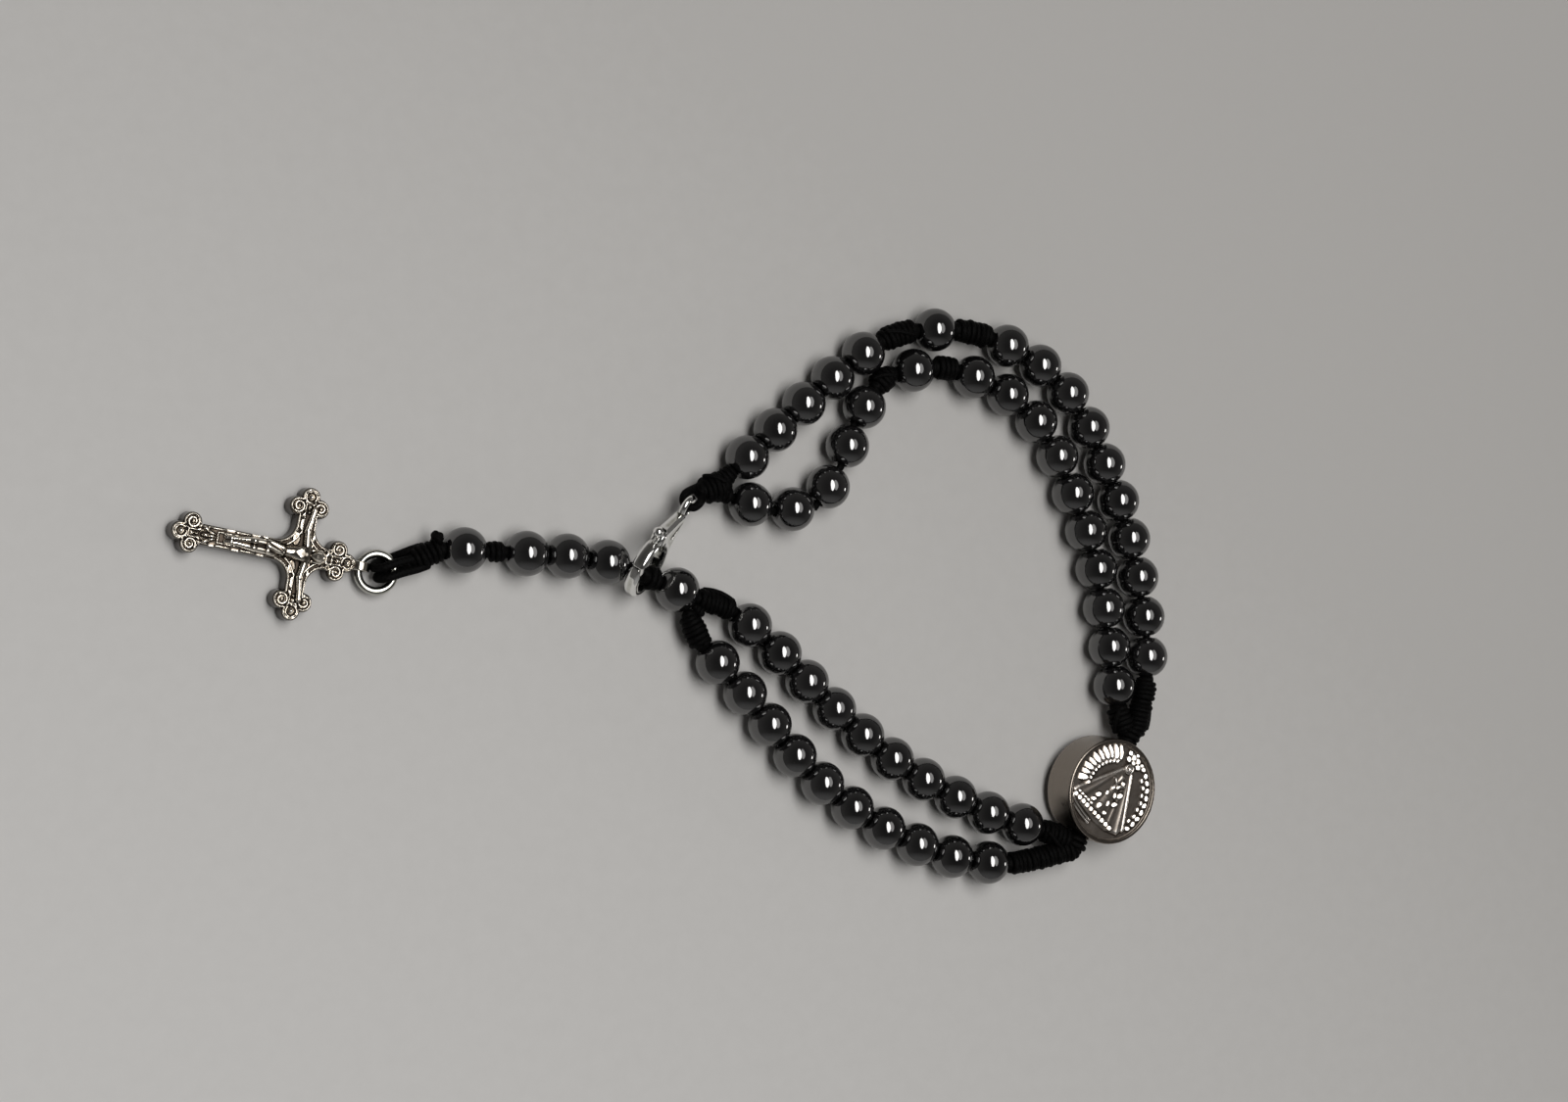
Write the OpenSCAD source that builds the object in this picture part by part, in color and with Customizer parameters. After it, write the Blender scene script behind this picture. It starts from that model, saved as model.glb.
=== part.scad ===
// Rosary bracelet: two strands of round beads on knotted cord, closed by a
// lobster clasp, with a medal bead in the loop and a crucifix on a short stem.
// It lies on a flat surface, Z up, in millimetres.

/* [Beads] */
// Diameter of a round bead
bead_d = 5; // [4:0.5:6]
// Diameter of the flat round each drilled end
bead_flat_d = 2.2; // [2:0.1:2.4]
// Diameter of the drilled hole
bead_hole_d = 1.3; // [1.2:0.1:1.6]
// Least gap between neighbouring beads of a string
bead_gap = 0.13; // [0.12:0.01:0.2]
// Beads in each long run
decade = 10; // [8:1:10]
// Beads in each short run beside the clasp
half_decade = 5; // [4:1:5]
// Beads in the run of the stem
stem_run = 3; // [2:1:3]

/* [Cord] */
// Diameter of the cord inside the beads
cord_d = 0.9; // [0.7:0.05:1]
// Diameter of the cord in the two open loops
loop_cord_d = 0.95; // [0.8:0.05:1]
// Clearance round the cord where it is drilled for
cord_clearance = 0.1; // [0.05:0.05:0.15]
// Diameter of a knot
knot_d = 2.8; // [2.2:0.1:3]
// Diameter of the knot at the clasp
clasp_knot_d = 3.3; // [2.6:0.1:3.5]
// Width of one wrap of a knot
wrap_w = 1; // [0.8:0.05:1.3]
// Length of the knots beside an outer single bead
outer_knot_l = 4.9; // [4:0.1:5.5]
// Length of the knots beside an inner single bead
inner_knot_l = 3; // [2.8:0.1:4]
// Length of the inner knot beside the join bead
join_knot_l = 5; // [4.5:0.1:6]
// Length of the outer knot beside the join bead
side_knot_l = 4.1; // [3:0.1:5]
// Length of the knot between the stem's beads
stem_knot_l = 2.5; // [1.6:0.1:3]
// Length of the knot at the clasp
clasp_knot_l = 3; // [2.6:0.1:3.4]
// Length of the knot between the jump ring and the stem
end_knot_l = 3.7; // [3.2:0.1:4]
// Length of the cord bunched inside the claw
grip_l = 4.1; // [4:0.1:4.6]
// Diameter of the cord bunched inside the claw
grip_d = 1.6; // [1.4:0.1:1.7]

/* [Medal] */
// Diameter of the medal bead
medal_d = 12.4; // [11:0.2:13]
// Thickness of the medal bead over its rims
medal_t = 4.6; // [4:0.1:5.5]
// Radius of the medal's rounded edges
medal_edge_r = 0.5; // [0.3:0.05:0.7]
// Width of the raised rim
medal_rim_w = 0.6; // [0.4:0.1:1]
// Depth of the field below the rim
medal_field_depth = 0.4; // [0.2:0.05:0.5]
// Diameter of the hole that both cords share
medal_hole_d = 2.6; // [2.4:0.1:2.8]
// Tilt of the medal, with its left edge raised
medal_tilt = 6; // [2:1:9]

/* [Crucifix] */
// Length from the crossing to the tip of the foot
foot_l = 14.2; // [12:0.2:17]
// Length from the crossing to the tip of the head
head_l = 6.2; // [5.8:0.1:7]
// Length from the crossing to the tip of an arm
arm_l = 7.2; // [6:0.2:9]
// Width of the beams
beam_w = 2.4; // [2:0.1:2.8]
// Thickness of the cast plate
cross_t = 2; // [1.6:0.1:2.4]
// Radius of the lobes at the beam ends
lobe_r = 1.1; // [1:0.05:1.2]
// Radius of the hollow corners at the crossing
corner_r = 1.8; // [1:0.1:2.2]
// Width of the raised border
border_w = 0.35; // [0.25:0.05:0.45]
// Height of the raised border
border_h = 0.35; // [0.2:0.05:0.5]
// Length of the figure from its feet to its head
figure_l = 10.6; // [9:0.2:11]

/* [Jump ring] */
// Outer diameter of the jump ring
ring_d = 4.9; // [4.7:0.1:5.4]
// Diameter of its wire
ring_wire = 0.9; // [0.7:0.05:0.95]
// Diameter of the eyelet's hole
eyelet_hole_d = 1.5; // [1.45:0.05:1.6]
// Wall of the eyelet round its hole
eyelet_wall = 0.45; // [0.4:0.05:0.6]
// Width of the eyelet along its hole
eyelet_w = 1; // [0.8:0.1:1.1]

/* [Clasp] */
// Length of the clasp
clasp_l = 13.2; // [13:0.1:14]
// Outer radius of the claw
claw_r = 3.75; // [3.7:0.05:3.9]
// Width of the claw's arm
claw_w = 1.1; // [1:0.05:1.15]
// Thickness of the claw
claw_t = 1.6; // [1.5:0.1:1.7]
// Outer diameter of the clasp's eye
clasp_eye_d = 3; // [2.9:0.1:3.3]
// Diameter of the wire of the clasp's eye
clasp_eye_wire = 0.75; // [0.6:0.05:0.8]
// Diameter of the lever's pin
pin_d = 0.7; // [0.5:0.05:0.8]
// Running clearance of the lever on its pin
pin_clearance = 0.05; // [0.03:0.01:0.08]
// Thickness of the lever's lug between the cheeks
lug_t = 0.6; // [0.5:0.05:0.65]
// Diameter of the thumb ball on the lever
thumb_d = 1.2; // [1:0.1:1.4]
// Lean of the standing clasp from upright
clasp_lean = 32; // [26:1:36]

/* [Hidden] */
$fn = 48;

// Chosen points that the strings lie along, seen from above, drawn for beads
// of route_bead_d and spread with the size of the beads
route_bead_d = 5;
ROUTES = [
    ["stem", [[-41.4, 0.2], [-39, 0.1], [-31.8, -0.3], [-22.6, -0.9], [-20.4, -1.7],
        [-16.8, -3.3], [-14.6, -4.2], [-12.4, -5]]],
    ["lower_inner", [[-12.2, -5.3], [-6.6, -7.2], [-1.4, -11.8], [5.2, -18], [12.4, -23.8],
        [20.6, -28.4], [29, -31.9], [36, -33]]],
    ["lower_outer", [[-12.9, -7], [-11, -10.8], [-5.8, -16], [0.3, -23.3], [7.6, -29.4],
        [15.8, -33.8], [25, -36.3], [34, -35.6]]],
    ["upper_inner", [[-7.7, 6], [-3.1, 4.5], [1.2, 4.1], [4.9, 7.3], [6.8, 12.1], [9, 17.1],
        [13.9, 20.8], [22.7, 20.4], [31.2, 15.6], [35.8, 7.7], [39.2, -1], [41.1, -10.4],
        [41.7, -15], [42.5, -20]]],
    ["upper_outer", [[-7.4, 8.9], [-2.3, 13.6], [4.9, 19.6], [10.3, 23.6], [17.9, 25.6],
        [27.2, 24.1], [35.4, 19], [40.4, 10.6], [43.9, 1.8], [45.9, -7.5], [46.4, -12.2],
        [46.1, -18]]]
];
spread = bead_d / route_bead_d;
route_steps = 8;
route_run_on = 40;

// Beads and knots
bead_r = bead_d / 2;
bead_l = sqrt(bead_d * bead_d - bead_flat_d * bead_flat_d);
straight_pitch = bead_l + bead_gap;
cord_hole_d = cord_d + 2 * cord_clearance;
loop_hole_d = loop_cord_d + 4 * cord_clearance;
knot_gap = 0.12;
wrap_depth = 0.35;
way_past = 0.25;
port_way_d = cord_hole_d + 0.16;
cord_sides = 8;
cord_z = bead_d / 2;
grip_rise = 0.5;
grip_past = 0.35;
stub_d = 2.2;

// Medal: its middle, the heading of its hole and the lanes of its two cords
medal_place = [39.9, -28.1] * spread;
medal_turn = -31;
medal_lane = 0.62;
medal_z = (medal_t / 2 - medal_edge_r) * cos(medal_tilt)
    + (medal_d / 2 - medal_edge_r) * sin(medal_tilt) + medal_edge_r;
medal_field_z = medal_t / 2 - medal_field_depth;
medal_field_r = medal_d / 2 - medal_rim_w;
relief_h = 0.3;

// Crucifix
lobe_in = 2.2;
lobe_side = 1.15;
line_in = 0.7;
line_w = 0.15;
eyelet_x = head_l + 0.5;
eyelet_z = eyelet_wall + eyelet_hole_d / 2;
crucifix_turn = -11;

// Jump ring, turned a little in the eyelet and tipped up over the cord
ring_r = (ring_d - ring_wire) / 2;
ring_swing = -9;
ring_turn = 19;
ring_high_z = loop_cord_d + 0.2 + ring_wire / 2;
ring_tip = asin((ring_high_z - eyelet_z) / (2 * ring_r));
ring_z = (eyelet_z + ring_high_z) / 2;

// Clasp, standing on the edge of its claw, whose middle stays round the cord it holds
clasp_turn = -126.5;
claw_place = [-18.2788, -1.5407] * spread;
clasp_eye_r = clasp_eye_d / 2;
eye_mid_r = clasp_eye_r - clasp_eye_wire / 2;
claw_x = clasp_l - claw_r - clasp_eye_r;
clasp_place = claw_place - claw_x * toward(clasp_turn);
claw_in_r = claw_r - claw_w;
clasp_z = claw_r * cos(clasp_lean) + claw_t / 2 * sin(clasp_lean);
pivot = [-2.75, 2.45];
cheek_r = 0.95;
lever_gap = 0.12;
slot_t = lug_t + 2 * lever_gap;
mouth = [[2.62, 0.2], [1.7, 3.5]];
thumb_up = 1.9;

function unit(v) = v / norm(v);
function mean(a, b) = (a + b) / 2;
function heading(a, b) = atan2(b[1] - a[1], b[0] - a[0]);
function toward(angle) = [cos(angle), sin(angle)];
function raise(p, z) = [p[0], p[1], z];
function reversed(list) = [for (i = [len(list) - 1:-1:0]) list[i]];

// Smooth curve through the points, run on past its end
function through(a, b, c, d, t) = 0.5 * (2 * b + (c - a) * t + (2 * a - 5 * b + 4 * c - d) * t * t
    + (3 * b - a - 3 * c + d) * t * t * t);
function smooth(pts, steps) = let (last = len(pts) - 1) concat(
    [for (i = [0:last - 1], k = [0:steps - 1])
        through(pts[max(i - 1, 0)], pts[i], pts[i + 1], pts[min(i + 2, last)], k / steps)],
    [pts[last]]);
function run_on(path) = let (last = len(path) - 1)
    concat(path, [path[last] + route_run_on * unit(path[last] - path[last - 1])]);
function route(name) = run_on(smooth([for (r = ROUTES) if (r[0] == name) spread * r[1]][0],
    route_steps));

// Ends of links of the given lengths, laid one after another along a curve
function reach(path, from, i, d) = i >= len(path) - 2 || norm(path[i + 1] - from) >= d
    ? let (v = path[i + 1] - path[i], w = path[i] - from, b = v * w, a = v * v)
        [path[i] + v * (sqrt(max(b * b - a * (w * w - d * d), 0)) - b) / a, i]
    : reach(path, from, i + 1, d);
function links(path, lengths, from, i = 0, k = 0) = k == len(lengths) ? [raise(from, cord_z)]
    : let (next = reach(path, from, i, lengths[k]))
        concat([raise(from, cord_z)], links(path, lengths, next[0], next[1], k + 1));

// Beads get room to turn on each other where the string bends: laid once
// at the straight pitch, then again with the gaps that those bends need
function bend(list, i) = i <= 0 || i >= len(list) - 1 ? 0
    : let (a = list[i] - list[i - 1], b = list[i + 1] - list[i])
        acos(min(a * b / (norm(a) * norm(b)), 1));
function roomy(list, lengths) = [for (i = [0:len(lengths) - 1])
    lengths[i] > 0 ? lengths[i] : bead_l + bead_gap
        + bead_flat_d * tan(max(bend(list, i), bend(list, i + 1)) / 2)];
function lay_from(path, lengths, from) = let (
    first = links(path, [for (l = lengths) l > 0 ? l : straight_pitch], from),
    second = links(path, roomy(first, lengths), from))
    links(path, roomy(second, lengths), from);
function lay(name, lengths) = let (path = route(name)) lay_from(path, lengths, path[0]);
function run(count) = [for (i = [1:count]) 0];

// The strings: both ends of every bead and knot along each of them
stem = lay("stem", concat(run(1), [stem_knot_l], run(stem_run), [grip_l], run(1)));
stem_end = stem[len(stem) - 1];
lower_inner = lay_from(route("lower_inner"), concat([join_knot_l], run(decade)),
    [stem_end[0], stem_end[1]]);
lower_outer = lay("lower_outer", concat([side_knot_l], run(decade)));
upper_inner = lay("upper_inner", concat(run(half_decade), [inner_knot_l], run(1), [inner_knot_l],
    run(decade)));
upper_outer = lay("upper_outer", concat(run(half_decade), [outer_knot_l], run(1), [outer_knot_l],
    run(decade)));

// Where the runs and the knots begin in those lists
stem_run_at = 2;
grip_at = stem_run_at + stem_run;
join_at = grip_at + 1;
knot_at = half_decade;
decade_at = knot_at + 3;
upper_end = decade_at + decade;
lower_end = decade + 1;

// Points on the lanes of the medal's hole, measured out from its middle
function on_lane(lane, out) = raise(medal_place + lane * toward(medal_turn)
    + out * toward(medal_turn + 90), medal_z);
port_out = medal_d / 2 + 0.8;
outer_port_out = port_out + 0.5;
clear_out = medal_d / 2 + knot_gap;

// Knot at the clasp, placed from its eye, with the two strands let into its far end
eye_to_knot = [2.1269, 1.8251] * spread;
clasp_knot_dir = raise(toward(193), 0);
clasp_knot_b = raise(clasp_place + eye_to_knot, bead_d / 2 + 0.15);
clasp_knot_a = clasp_knot_b - clasp_knot_l * clasp_knot_dir;
strand_side = 0.5 * raise(toward(103), 0);
inner_let_in = clasp_knot_a + 0.8 * clasp_knot_dir - strand_side;
outer_let_in = clasp_knot_a + 0.8 * clasp_knot_dir + strand_side;

// Directions of the clasp: along it, up its face and through its thickness
clasp_along = raise(toward(clasp_turn), 0);
clasp_up = raise(sin(clasp_lean) * toward(clasp_turn - 90), cos(clasp_lean));
clasp_through = raise(cos(clasp_lean) * toward(clasp_turn - 90), -sin(clasp_lean));
eye_wire = raise(clasp_place, clasp_z) - eye_mid_r * clasp_along;
loop_out = (clasp_eye_wire + loop_cord_d) / 2 + 0.12;
loop_side = 0.6 * unit(clasp_through - (clasp_through * clasp_knot_dir) * clasp_knot_dir);
clasp_loop_path = [
    clasp_knot_b - 1.2 * clasp_knot_dir + loop_side,
    clasp_knot_b - 0.5 * clasp_knot_dir + loop_side,
    clasp_knot_b + 0.1 * clasp_knot_dir + loop_side,
    eye_wire + loop_out * clasp_through - 0.2 * clasp_along,
    eye_wire + 0.75 * loop_out * clasp_through + 0.7 * loop_out * clasp_along,
    eye_wire + loop_out * clasp_along,
    eye_wire - 0.75 * loop_out * clasp_through + 0.7 * loop_out * clasp_along,
    eye_wire - loop_out * clasp_through - 0.2 * clasp_along,
    clasp_knot_b + 0.1 * clasp_knot_dir - loop_side,
    clasp_knot_b - 0.5 * clasp_knot_dir - loop_side,
    clasp_knot_b - 1.2 * clasp_knot_dir - loop_side
];

// Knot at the end of the stem, and the loop that holds the jump ring
end_knot_dir = raise(-toward(ring_turn), -0.12);
end_knot_b = stem[0] + end_knot_l * end_knot_dir;
ring_place = end_knot_b + (1.95 + ring_r) * raise(-toward(ring_turn), 0);
ring_wire_at = raise(ring_place + ring_r * raise(toward(ring_turn), 0), ring_high_z);
ring_loop_out = (ring_wire + loop_cord_d) / 2 + 0.13;
ring_side = 0.42 * raise(toward(ring_turn + 90), 0) - [0, 0, 0.42];
ring_across = raise(toward(ring_turn), 0);
ring_spread = 0.25 * raise(toward(ring_turn + 90), 0);
ring_loop_path = [
    end_knot_b - 1.3 * end_knot_dir - ring_side,
    end_knot_b - 0.1 * end_knot_dir - ring_side,
    ring_wire_at + [0, 0, ring_loop_out] + 0.2 * ring_across - ring_spread,
    ring_wire_at + 0.72 * [0, 0, ring_loop_out] - 0.72 * ring_loop_out * ring_across - ring_spread,
    ring_wire_at - ring_loop_out * ring_across,
    ring_wire_at - 0.72 * [0, 0, ring_loop_out] - 0.72 * ring_loop_out * ring_across + ring_spread,
    ring_wire_at - [0, 0, ring_loop_out] + 0.2 * ring_across + ring_spread,
    end_knot_b - 0.1 * end_knot_dir + ring_side,
    end_knot_b - 1.3 * end_knot_dir + ring_side
];

// The crucifix hangs on the ring's far side
ring_hold = ring_place - ring_r * raise(toward(crucifix_turn + ring_swing), 0);
crucifix_place = ring_hold - eyelet_x * raise(toward(crucifix_turn), 0);

// The cords
function rising(list, i) = concat([for (k = [0:i]) list[k]],
    [mean(list[i], list[i + 1]) + [0, 0, grip_rise]],
    [for (k = [i + 1:len(list) - 1]) list[k]]);
function part_of(list, first, last) = [for (i = [first:last]) list[i]];
function step_in(a, b, d) = a + d * unit(b - a);
stem_path = concat([step_in(stem[0], end_knot_b, 1)], rising(stem, grip_at),
    [step_in(lower_inner[0], lower_inner[1], 1)]);
inner_path = concat([inner_let_in], upper_inner, [on_lane(-medal_lane, port_out),
    on_lane(-medal_lane, -port_out)], reversed(part_of(lower_inner, 1, lower_end)),
    [step_in(lower_inner[0], lower_inner[1], 1.3)]);
outer_path = concat([outer_let_in], upper_outer, [on_lane(medal_lane, outer_port_out),
    on_lane(medal_lane, -outer_port_out)], reversed(part_of(lower_outer, 1, lower_end)),
    [step_in(lower_outer[0], lower_outer[1], 1.3)]);

// Whole piece moved so that the middle of its outline is over the origin
left_x = crucifix_place[0] - foot_l * cos(crucifix_turn) - lobe_r * (1 - cos(crucifix_turn));
right_x = max([for (i = [decade_at:upper_end - 1])
    mean(upper_outer[i], upper_outer[i + 1])[0]]) + bead_r;
low_y = min([for (i = [1:lower_end - 1]) mean(lower_outer[i], lower_outer[i + 1])[1]]) - bead_r;
high_y = mean(upper_outer[knot_at + 1], upper_outer[knot_at + 2])[1] + bead_r;
centre = [(left_x + right_x) / 2, (low_y + high_y) / 2, 0];

// Stands a shape drawn along +Z on the line from one point to another
module along(a, b) {
    v = b - a;
    translate(a - centre) rotate([0, acos(v[2] / norm(v)), atan2(v[1], v[0])]) children();
}

// Round cord along a path, its section turned by a direction across the path
module swept_cord(path, d, across) {
    last = len(path) - 1;
    rings = [for (i = [0:last]) let (
        before = i == 0 ? [0, 0, 0] : unit(path[i] - path[i - 1]),
        after = i == last ? [0, 0, 0] : unit(path[i + 1] - path[i]),
        u = unit(cross(before + after, across)),
        v = unit(cross(before + after, u)))
        [for (k = [0:cord_sides - 1]) path[i] - centre
            + d / 2 * (cos(360 * k / cord_sides) * u + sin(360 * k / cord_sides) * v)]];
    sides = [for (i = [0:last - 1], k = [0:cord_sides - 1]) let (
        a = i * cord_sides + k,
        b = i * cord_sides + (k + 1) % cord_sides)
        each [[a, b + cord_sides, b], [a, a + cord_sides, b + cord_sides]]];
    polyhedron([for (ring = rings) each ring], concat(
        [[for (k = [0:cord_sides - 1]) k]],
        sides,
        [[for (k = [cord_sides - 1:-1:0]) last * cord_sides + k]]));
}

// Round bead with a flat round each end of its drilled hole
module bead(a, b) {
    translate(mean(a, b) - centre) rotate([0, 90, heading(a, b)]) difference() {
        intersection() {
            sphere(d = bead_d);
            cylinder(h = bead_l, d = 2 * bead_d, center = true);
        }
        cylinder(h = bead_d, d = bead_hole_d, center = true);
    }
}
module beads(list, first, count) {
    color([0.12, 0.12, 0.13]) for (i = [first:first + count - 1]) bead(list[i], list[i + 1]);
}

// Barrel of cord wraps, and the way for the cord through it
module barrel(a, b, d) {
    l = norm(b - a) - knot_gap;
    count = max(round(l / wrap_w), ceil(l / (0.4 * d)));
    w = l / count;
    along(a, b) translate([0, 0, knot_gap / 2]) rotate_extrude() union() {
        square([d / 2 - wrap_depth * w, l]);
        for (i = [0:count - 1]) translate([d / 2 - w / 2, w * (i + 0.5)]) circle(d = w);
    }
}
// Wraps pulled so tight that they show as one plain barrel
module tight_barrel(a, b, d) {
    along(a, b) translate([0, 0, knot_gap / 2]) cylinder(h = norm(b - a) - knot_gap, d = d);
}
module cord_way(a, b, from = -1, past = 1, d = cord_hole_d) {
    along(a, b) translate([0, 0, from]) cylinder(h = norm(b - a) + past - from, d = d);
}
module bead_clearance(a, b) {
    translate(mean(a, b) - centre) sphere(r = bead_r + knot_gap);
}
module plain_knot(list, i, d = knot_d) {
    color([0.07, 0.07, 0.07]) difference() {
        barrel(list[i], list[i + 1], d);
        cord_way(list[i], list[i + 1]);
        bead_clearance(list[i - 1], list[i]);
        bead_clearance(list[i + 1], list[i + 2]);
    }
}

// Puts a shape drawn flat, hole along Y, in the medal's place
module at_medal() {
    translate(raise(medal_place, medal_z) - centre) rotate([0, medal_tilt, medal_turn]) children();
}

module stem_end_knot() {
    color([0.07, 0.07, 0.07]) difference() {
        union() {
            barrel(end_knot_b, stem[0], knot_d);
            translate(stem[0] - centre + [-1, 1.25, 0.5]) sphere(d = 1.7);
        }
        bead_clearance(stem[0], stem[1]);
        cord_way(stem[0], end_knot_b, past = 1.25 - end_knot_l);
        for (side = [-1, 1])
            cord_way(end_knot_b + side * ring_side, stem[0] + side * ring_side,
                past = 1.55 - end_knot_l, d = loop_hole_d);
    }
}

module grip_knot() {
    middle = mean(stem[grip_at], stem[grip_at + 1]) + [0, 0, grip_rise];
    color([0.07, 0.07, 0.07]) difference() {
        union() {
            tight_barrel(stem[grip_at], step_in(middle, stem[grip_at], -grip_past), grip_d);
            tight_barrel(step_in(middle, stem[grip_at + 1], -grip_past), stem[grip_at + 1], grip_d);
        }
        cord_way(stem[grip_at], middle, past = 0.4);
        cord_way(middle, stem[grip_at + 1], from = -0.4, d = cord_hole_d + 0.06);
        bead_clearance(stem[grip_at - 1], stem[grip_at]);
        bead_clearance(stem[join_at], stem[join_at + 1]);
    }
}

module join_knots() {
    color([0.07, 0.07, 0.07]) difference() {
        union() {
            barrel(lower_inner[0], lower_inner[1], knot_d - 0.3);
            barrel(lower_outer[0], lower_outer[1], knot_d - 0.1);
            translate(mean(step_in(lower_inner[0], lower_inner[1], 1.1),
                step_in(lower_outer[0], lower_outer[1], 0.8)) - centre) sphere(d = 1.7);
        }
        bead_clearance(stem[join_at], stem[join_at + 1]);
        bead_clearance(lower_inner[1], lower_inner[2]);
        bead_clearance(lower_outer[1], lower_outer[2]);
        cord_way(lower_inner[0], lower_inner[1]);
        cord_way(lower_outer[0], lower_outer[1], from = 1.1);
    }
}

// Knots of both strands, run together in front of one end of the medal's hole
module medal_knots(inner_list, inner_end, outer_list, outer_end, side) {
    inner = inner_list[inner_end];
    outer = outer_list[outer_end];
    inner_port = on_lane(-medal_lane, side * port_out);
    outer_port = on_lane(medal_lane, side * outer_port_out);
    color([0.07, 0.07, 0.07]) difference() {
        union() {
            tight_barrel(inner, inner_port, knot_d);
            tight_barrel(outer, outer_port, knot_d - 0.1);
            tight_barrel(on_lane(0, side * (port_out + 0.9)), on_lane(0, side * (clear_out - 0.3)),
                knot_d + 0.3);
        }
        bead_clearance(inner_list[inner_end - 1], inner);
        bead_clearance(outer_list[outer_end - 1], outer);
        at_medal() cylinder(h = 2 * medal_t, r = clear_out, center = true);
        cord_way(inner, inner_port, past = way_past);
        cord_way(outer, outer_port, past = way_past);
        cord_way(inner_port, on_lane(-medal_lane, 0), from = -way_past, d = port_way_d);
        cord_way(outer_port, on_lane(medal_lane, 0), from = -way_past, d = port_way_d);
    }
}
module lower_end_knots() medal_knots(lower_inner, lower_end, lower_outer, lower_end, -1);
module upper_end_knots() medal_knots(upper_inner, upper_end, upper_outer, upper_end, 1);

module clasp_knot() {
    color([0.07, 0.07, 0.07]) difference() {
        union() {
            barrel(clasp_knot_a, clasp_knot_b, clasp_knot_d);
            barrel(inner_let_in, upper_inner[0], stub_d);
            barrel(outer_let_in, upper_outer[0], stub_d);
        }
        cord_way(inner_let_in, upper_inner[0], from = -0.2);
        cord_way(outer_let_in, upper_outer[0], from = -0.2);
        bead_clearance(upper_inner[0], upper_inner[1]);
        bead_clearance(upper_outer[0], upper_outer[1]);
        for (side = [-1, 1])
            cord_way(clasp_knot_b + side * loop_side, clasp_knot_a + side * loop_side,
                past = 1.4 - clasp_knot_l, d = loop_hole_d);
    }
}

// Medal: a thick round bead with a raised rim, drilled from edge to edge
module medal_blank() {
    core_r = medal_d / 2 - medal_edge_r;
    rotate_extrude() union() {
        translate([0, -medal_t / 2]) square([core_r, medal_t]);
        translate([0, medal_edge_r - medal_t / 2])
            square([medal_d / 2, medal_t - 2 * medal_edge_r]);
        for (side = [-1, 1])
            translate([core_r, side * (medal_t / 2 - medal_edge_r)]) circle(r = medal_edge_r);
    }
}
module mantled_figure() {
    linear_extrude(relief_h + 0.2) intersection() {
        polygon([[-3.9, -4.4], [3.9, -4.4], [0.75, 2.5], [-0.75, 2.5]]);
        circle(r = 4.75);
    }
    linear_extrude(relief_h + 0.35) polygon([[-1.5, -4.3], [1.5, -4.3], [0.45, 2.1], [-0.45, 2.1]]);
    for (i = [-4:4]) translate([i * 0.72, 0.05 * i * i - 4.1, relief_h + 0.15]) sphere(r = 0.18);
    translate([0, 2.9, relief_h]) sphere(r = 0.62);
    translate([0, 2.85, relief_h + 0.55]) sphere(r = 0.14);
    for (i = [-2:2]) translate([i * 0.3, 3.65 - 0.05 * abs(i), 0]) cylinder(h = 0.55, r = 0.13);
}
module medal_rays() {
    for (angle = [98:13:176]) rotate([0, 0, angle]) translate([3.4, -0.22, 0])
        cube([1.5, 0.44, relief_h]);
}
module medal_dots() {
    for (angle = [-62:12:70]) rotate([0, 0, angle]) translate([4.75, 0, 0])
        cylinder(h = 0.25, r = 0.2);
}
module medal() {
    color([0.72, 0.7, 0.66]) at_medal() {
        difference() {
            medal_blank();
            for (side = [-1, 1]) translate([0, 0, side * (medal_field_z + medal_t / 2)])
                cylinder(h = medal_t, r = medal_field_r, center = true);
            rotate([90, 0, 0]) cylinder(h = 2 * medal_d, d = medal_hole_d, center = true);
        }
        translate([0, 0, medal_field_z - 0.02]) {
            mantled_figure();
            medal_rays();
            medal_dots();
        }
    }
}

// Outline of the crucifix, drawn in from its edge
module beam_end(tip, inset) {
    translate([tip - lobe_r, 0]) circle(r = lobe_r - inset);
    for (side = [-1, 1]) translate([tip - lobe_in, side * lobe_side]) circle(r = lobe_r - inset);
}
module crucifix_outline(inset) {
    half = beam_w / 2;
    union() {
        translate([lobe_r - foot_l, inset - half])
            square([foot_l + head_l - 2 * lobe_r, beam_w - 2 * inset]);
        translate([inset - half, lobe_r - arm_l])
            square([beam_w - 2 * inset, 2 * (arm_l - lobe_r)]);
        difference() {
            square(2 * (half + corner_r), center = true);
            for (x = [-1, 1], y = [-1, 1])
                translate([x, y] * (half + corner_r)) circle(r = corner_r + inset);
        }
        rotate(180) beam_end(foot_l, inset);
        beam_end(head_l, inset);
        rotate(90) beam_end(arm_l, inset);
        rotate(-90) beam_end(arm_l, inset);
    }
}
module limb(a, b, ra, rb) {
    v = b - a;
    translate(a) rotate([0, acos(v[2] / norm(v)), atan2(v[1], v[0])])
        cylinder(h = norm(v), r1 = ra, r2 = rb);
}
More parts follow.
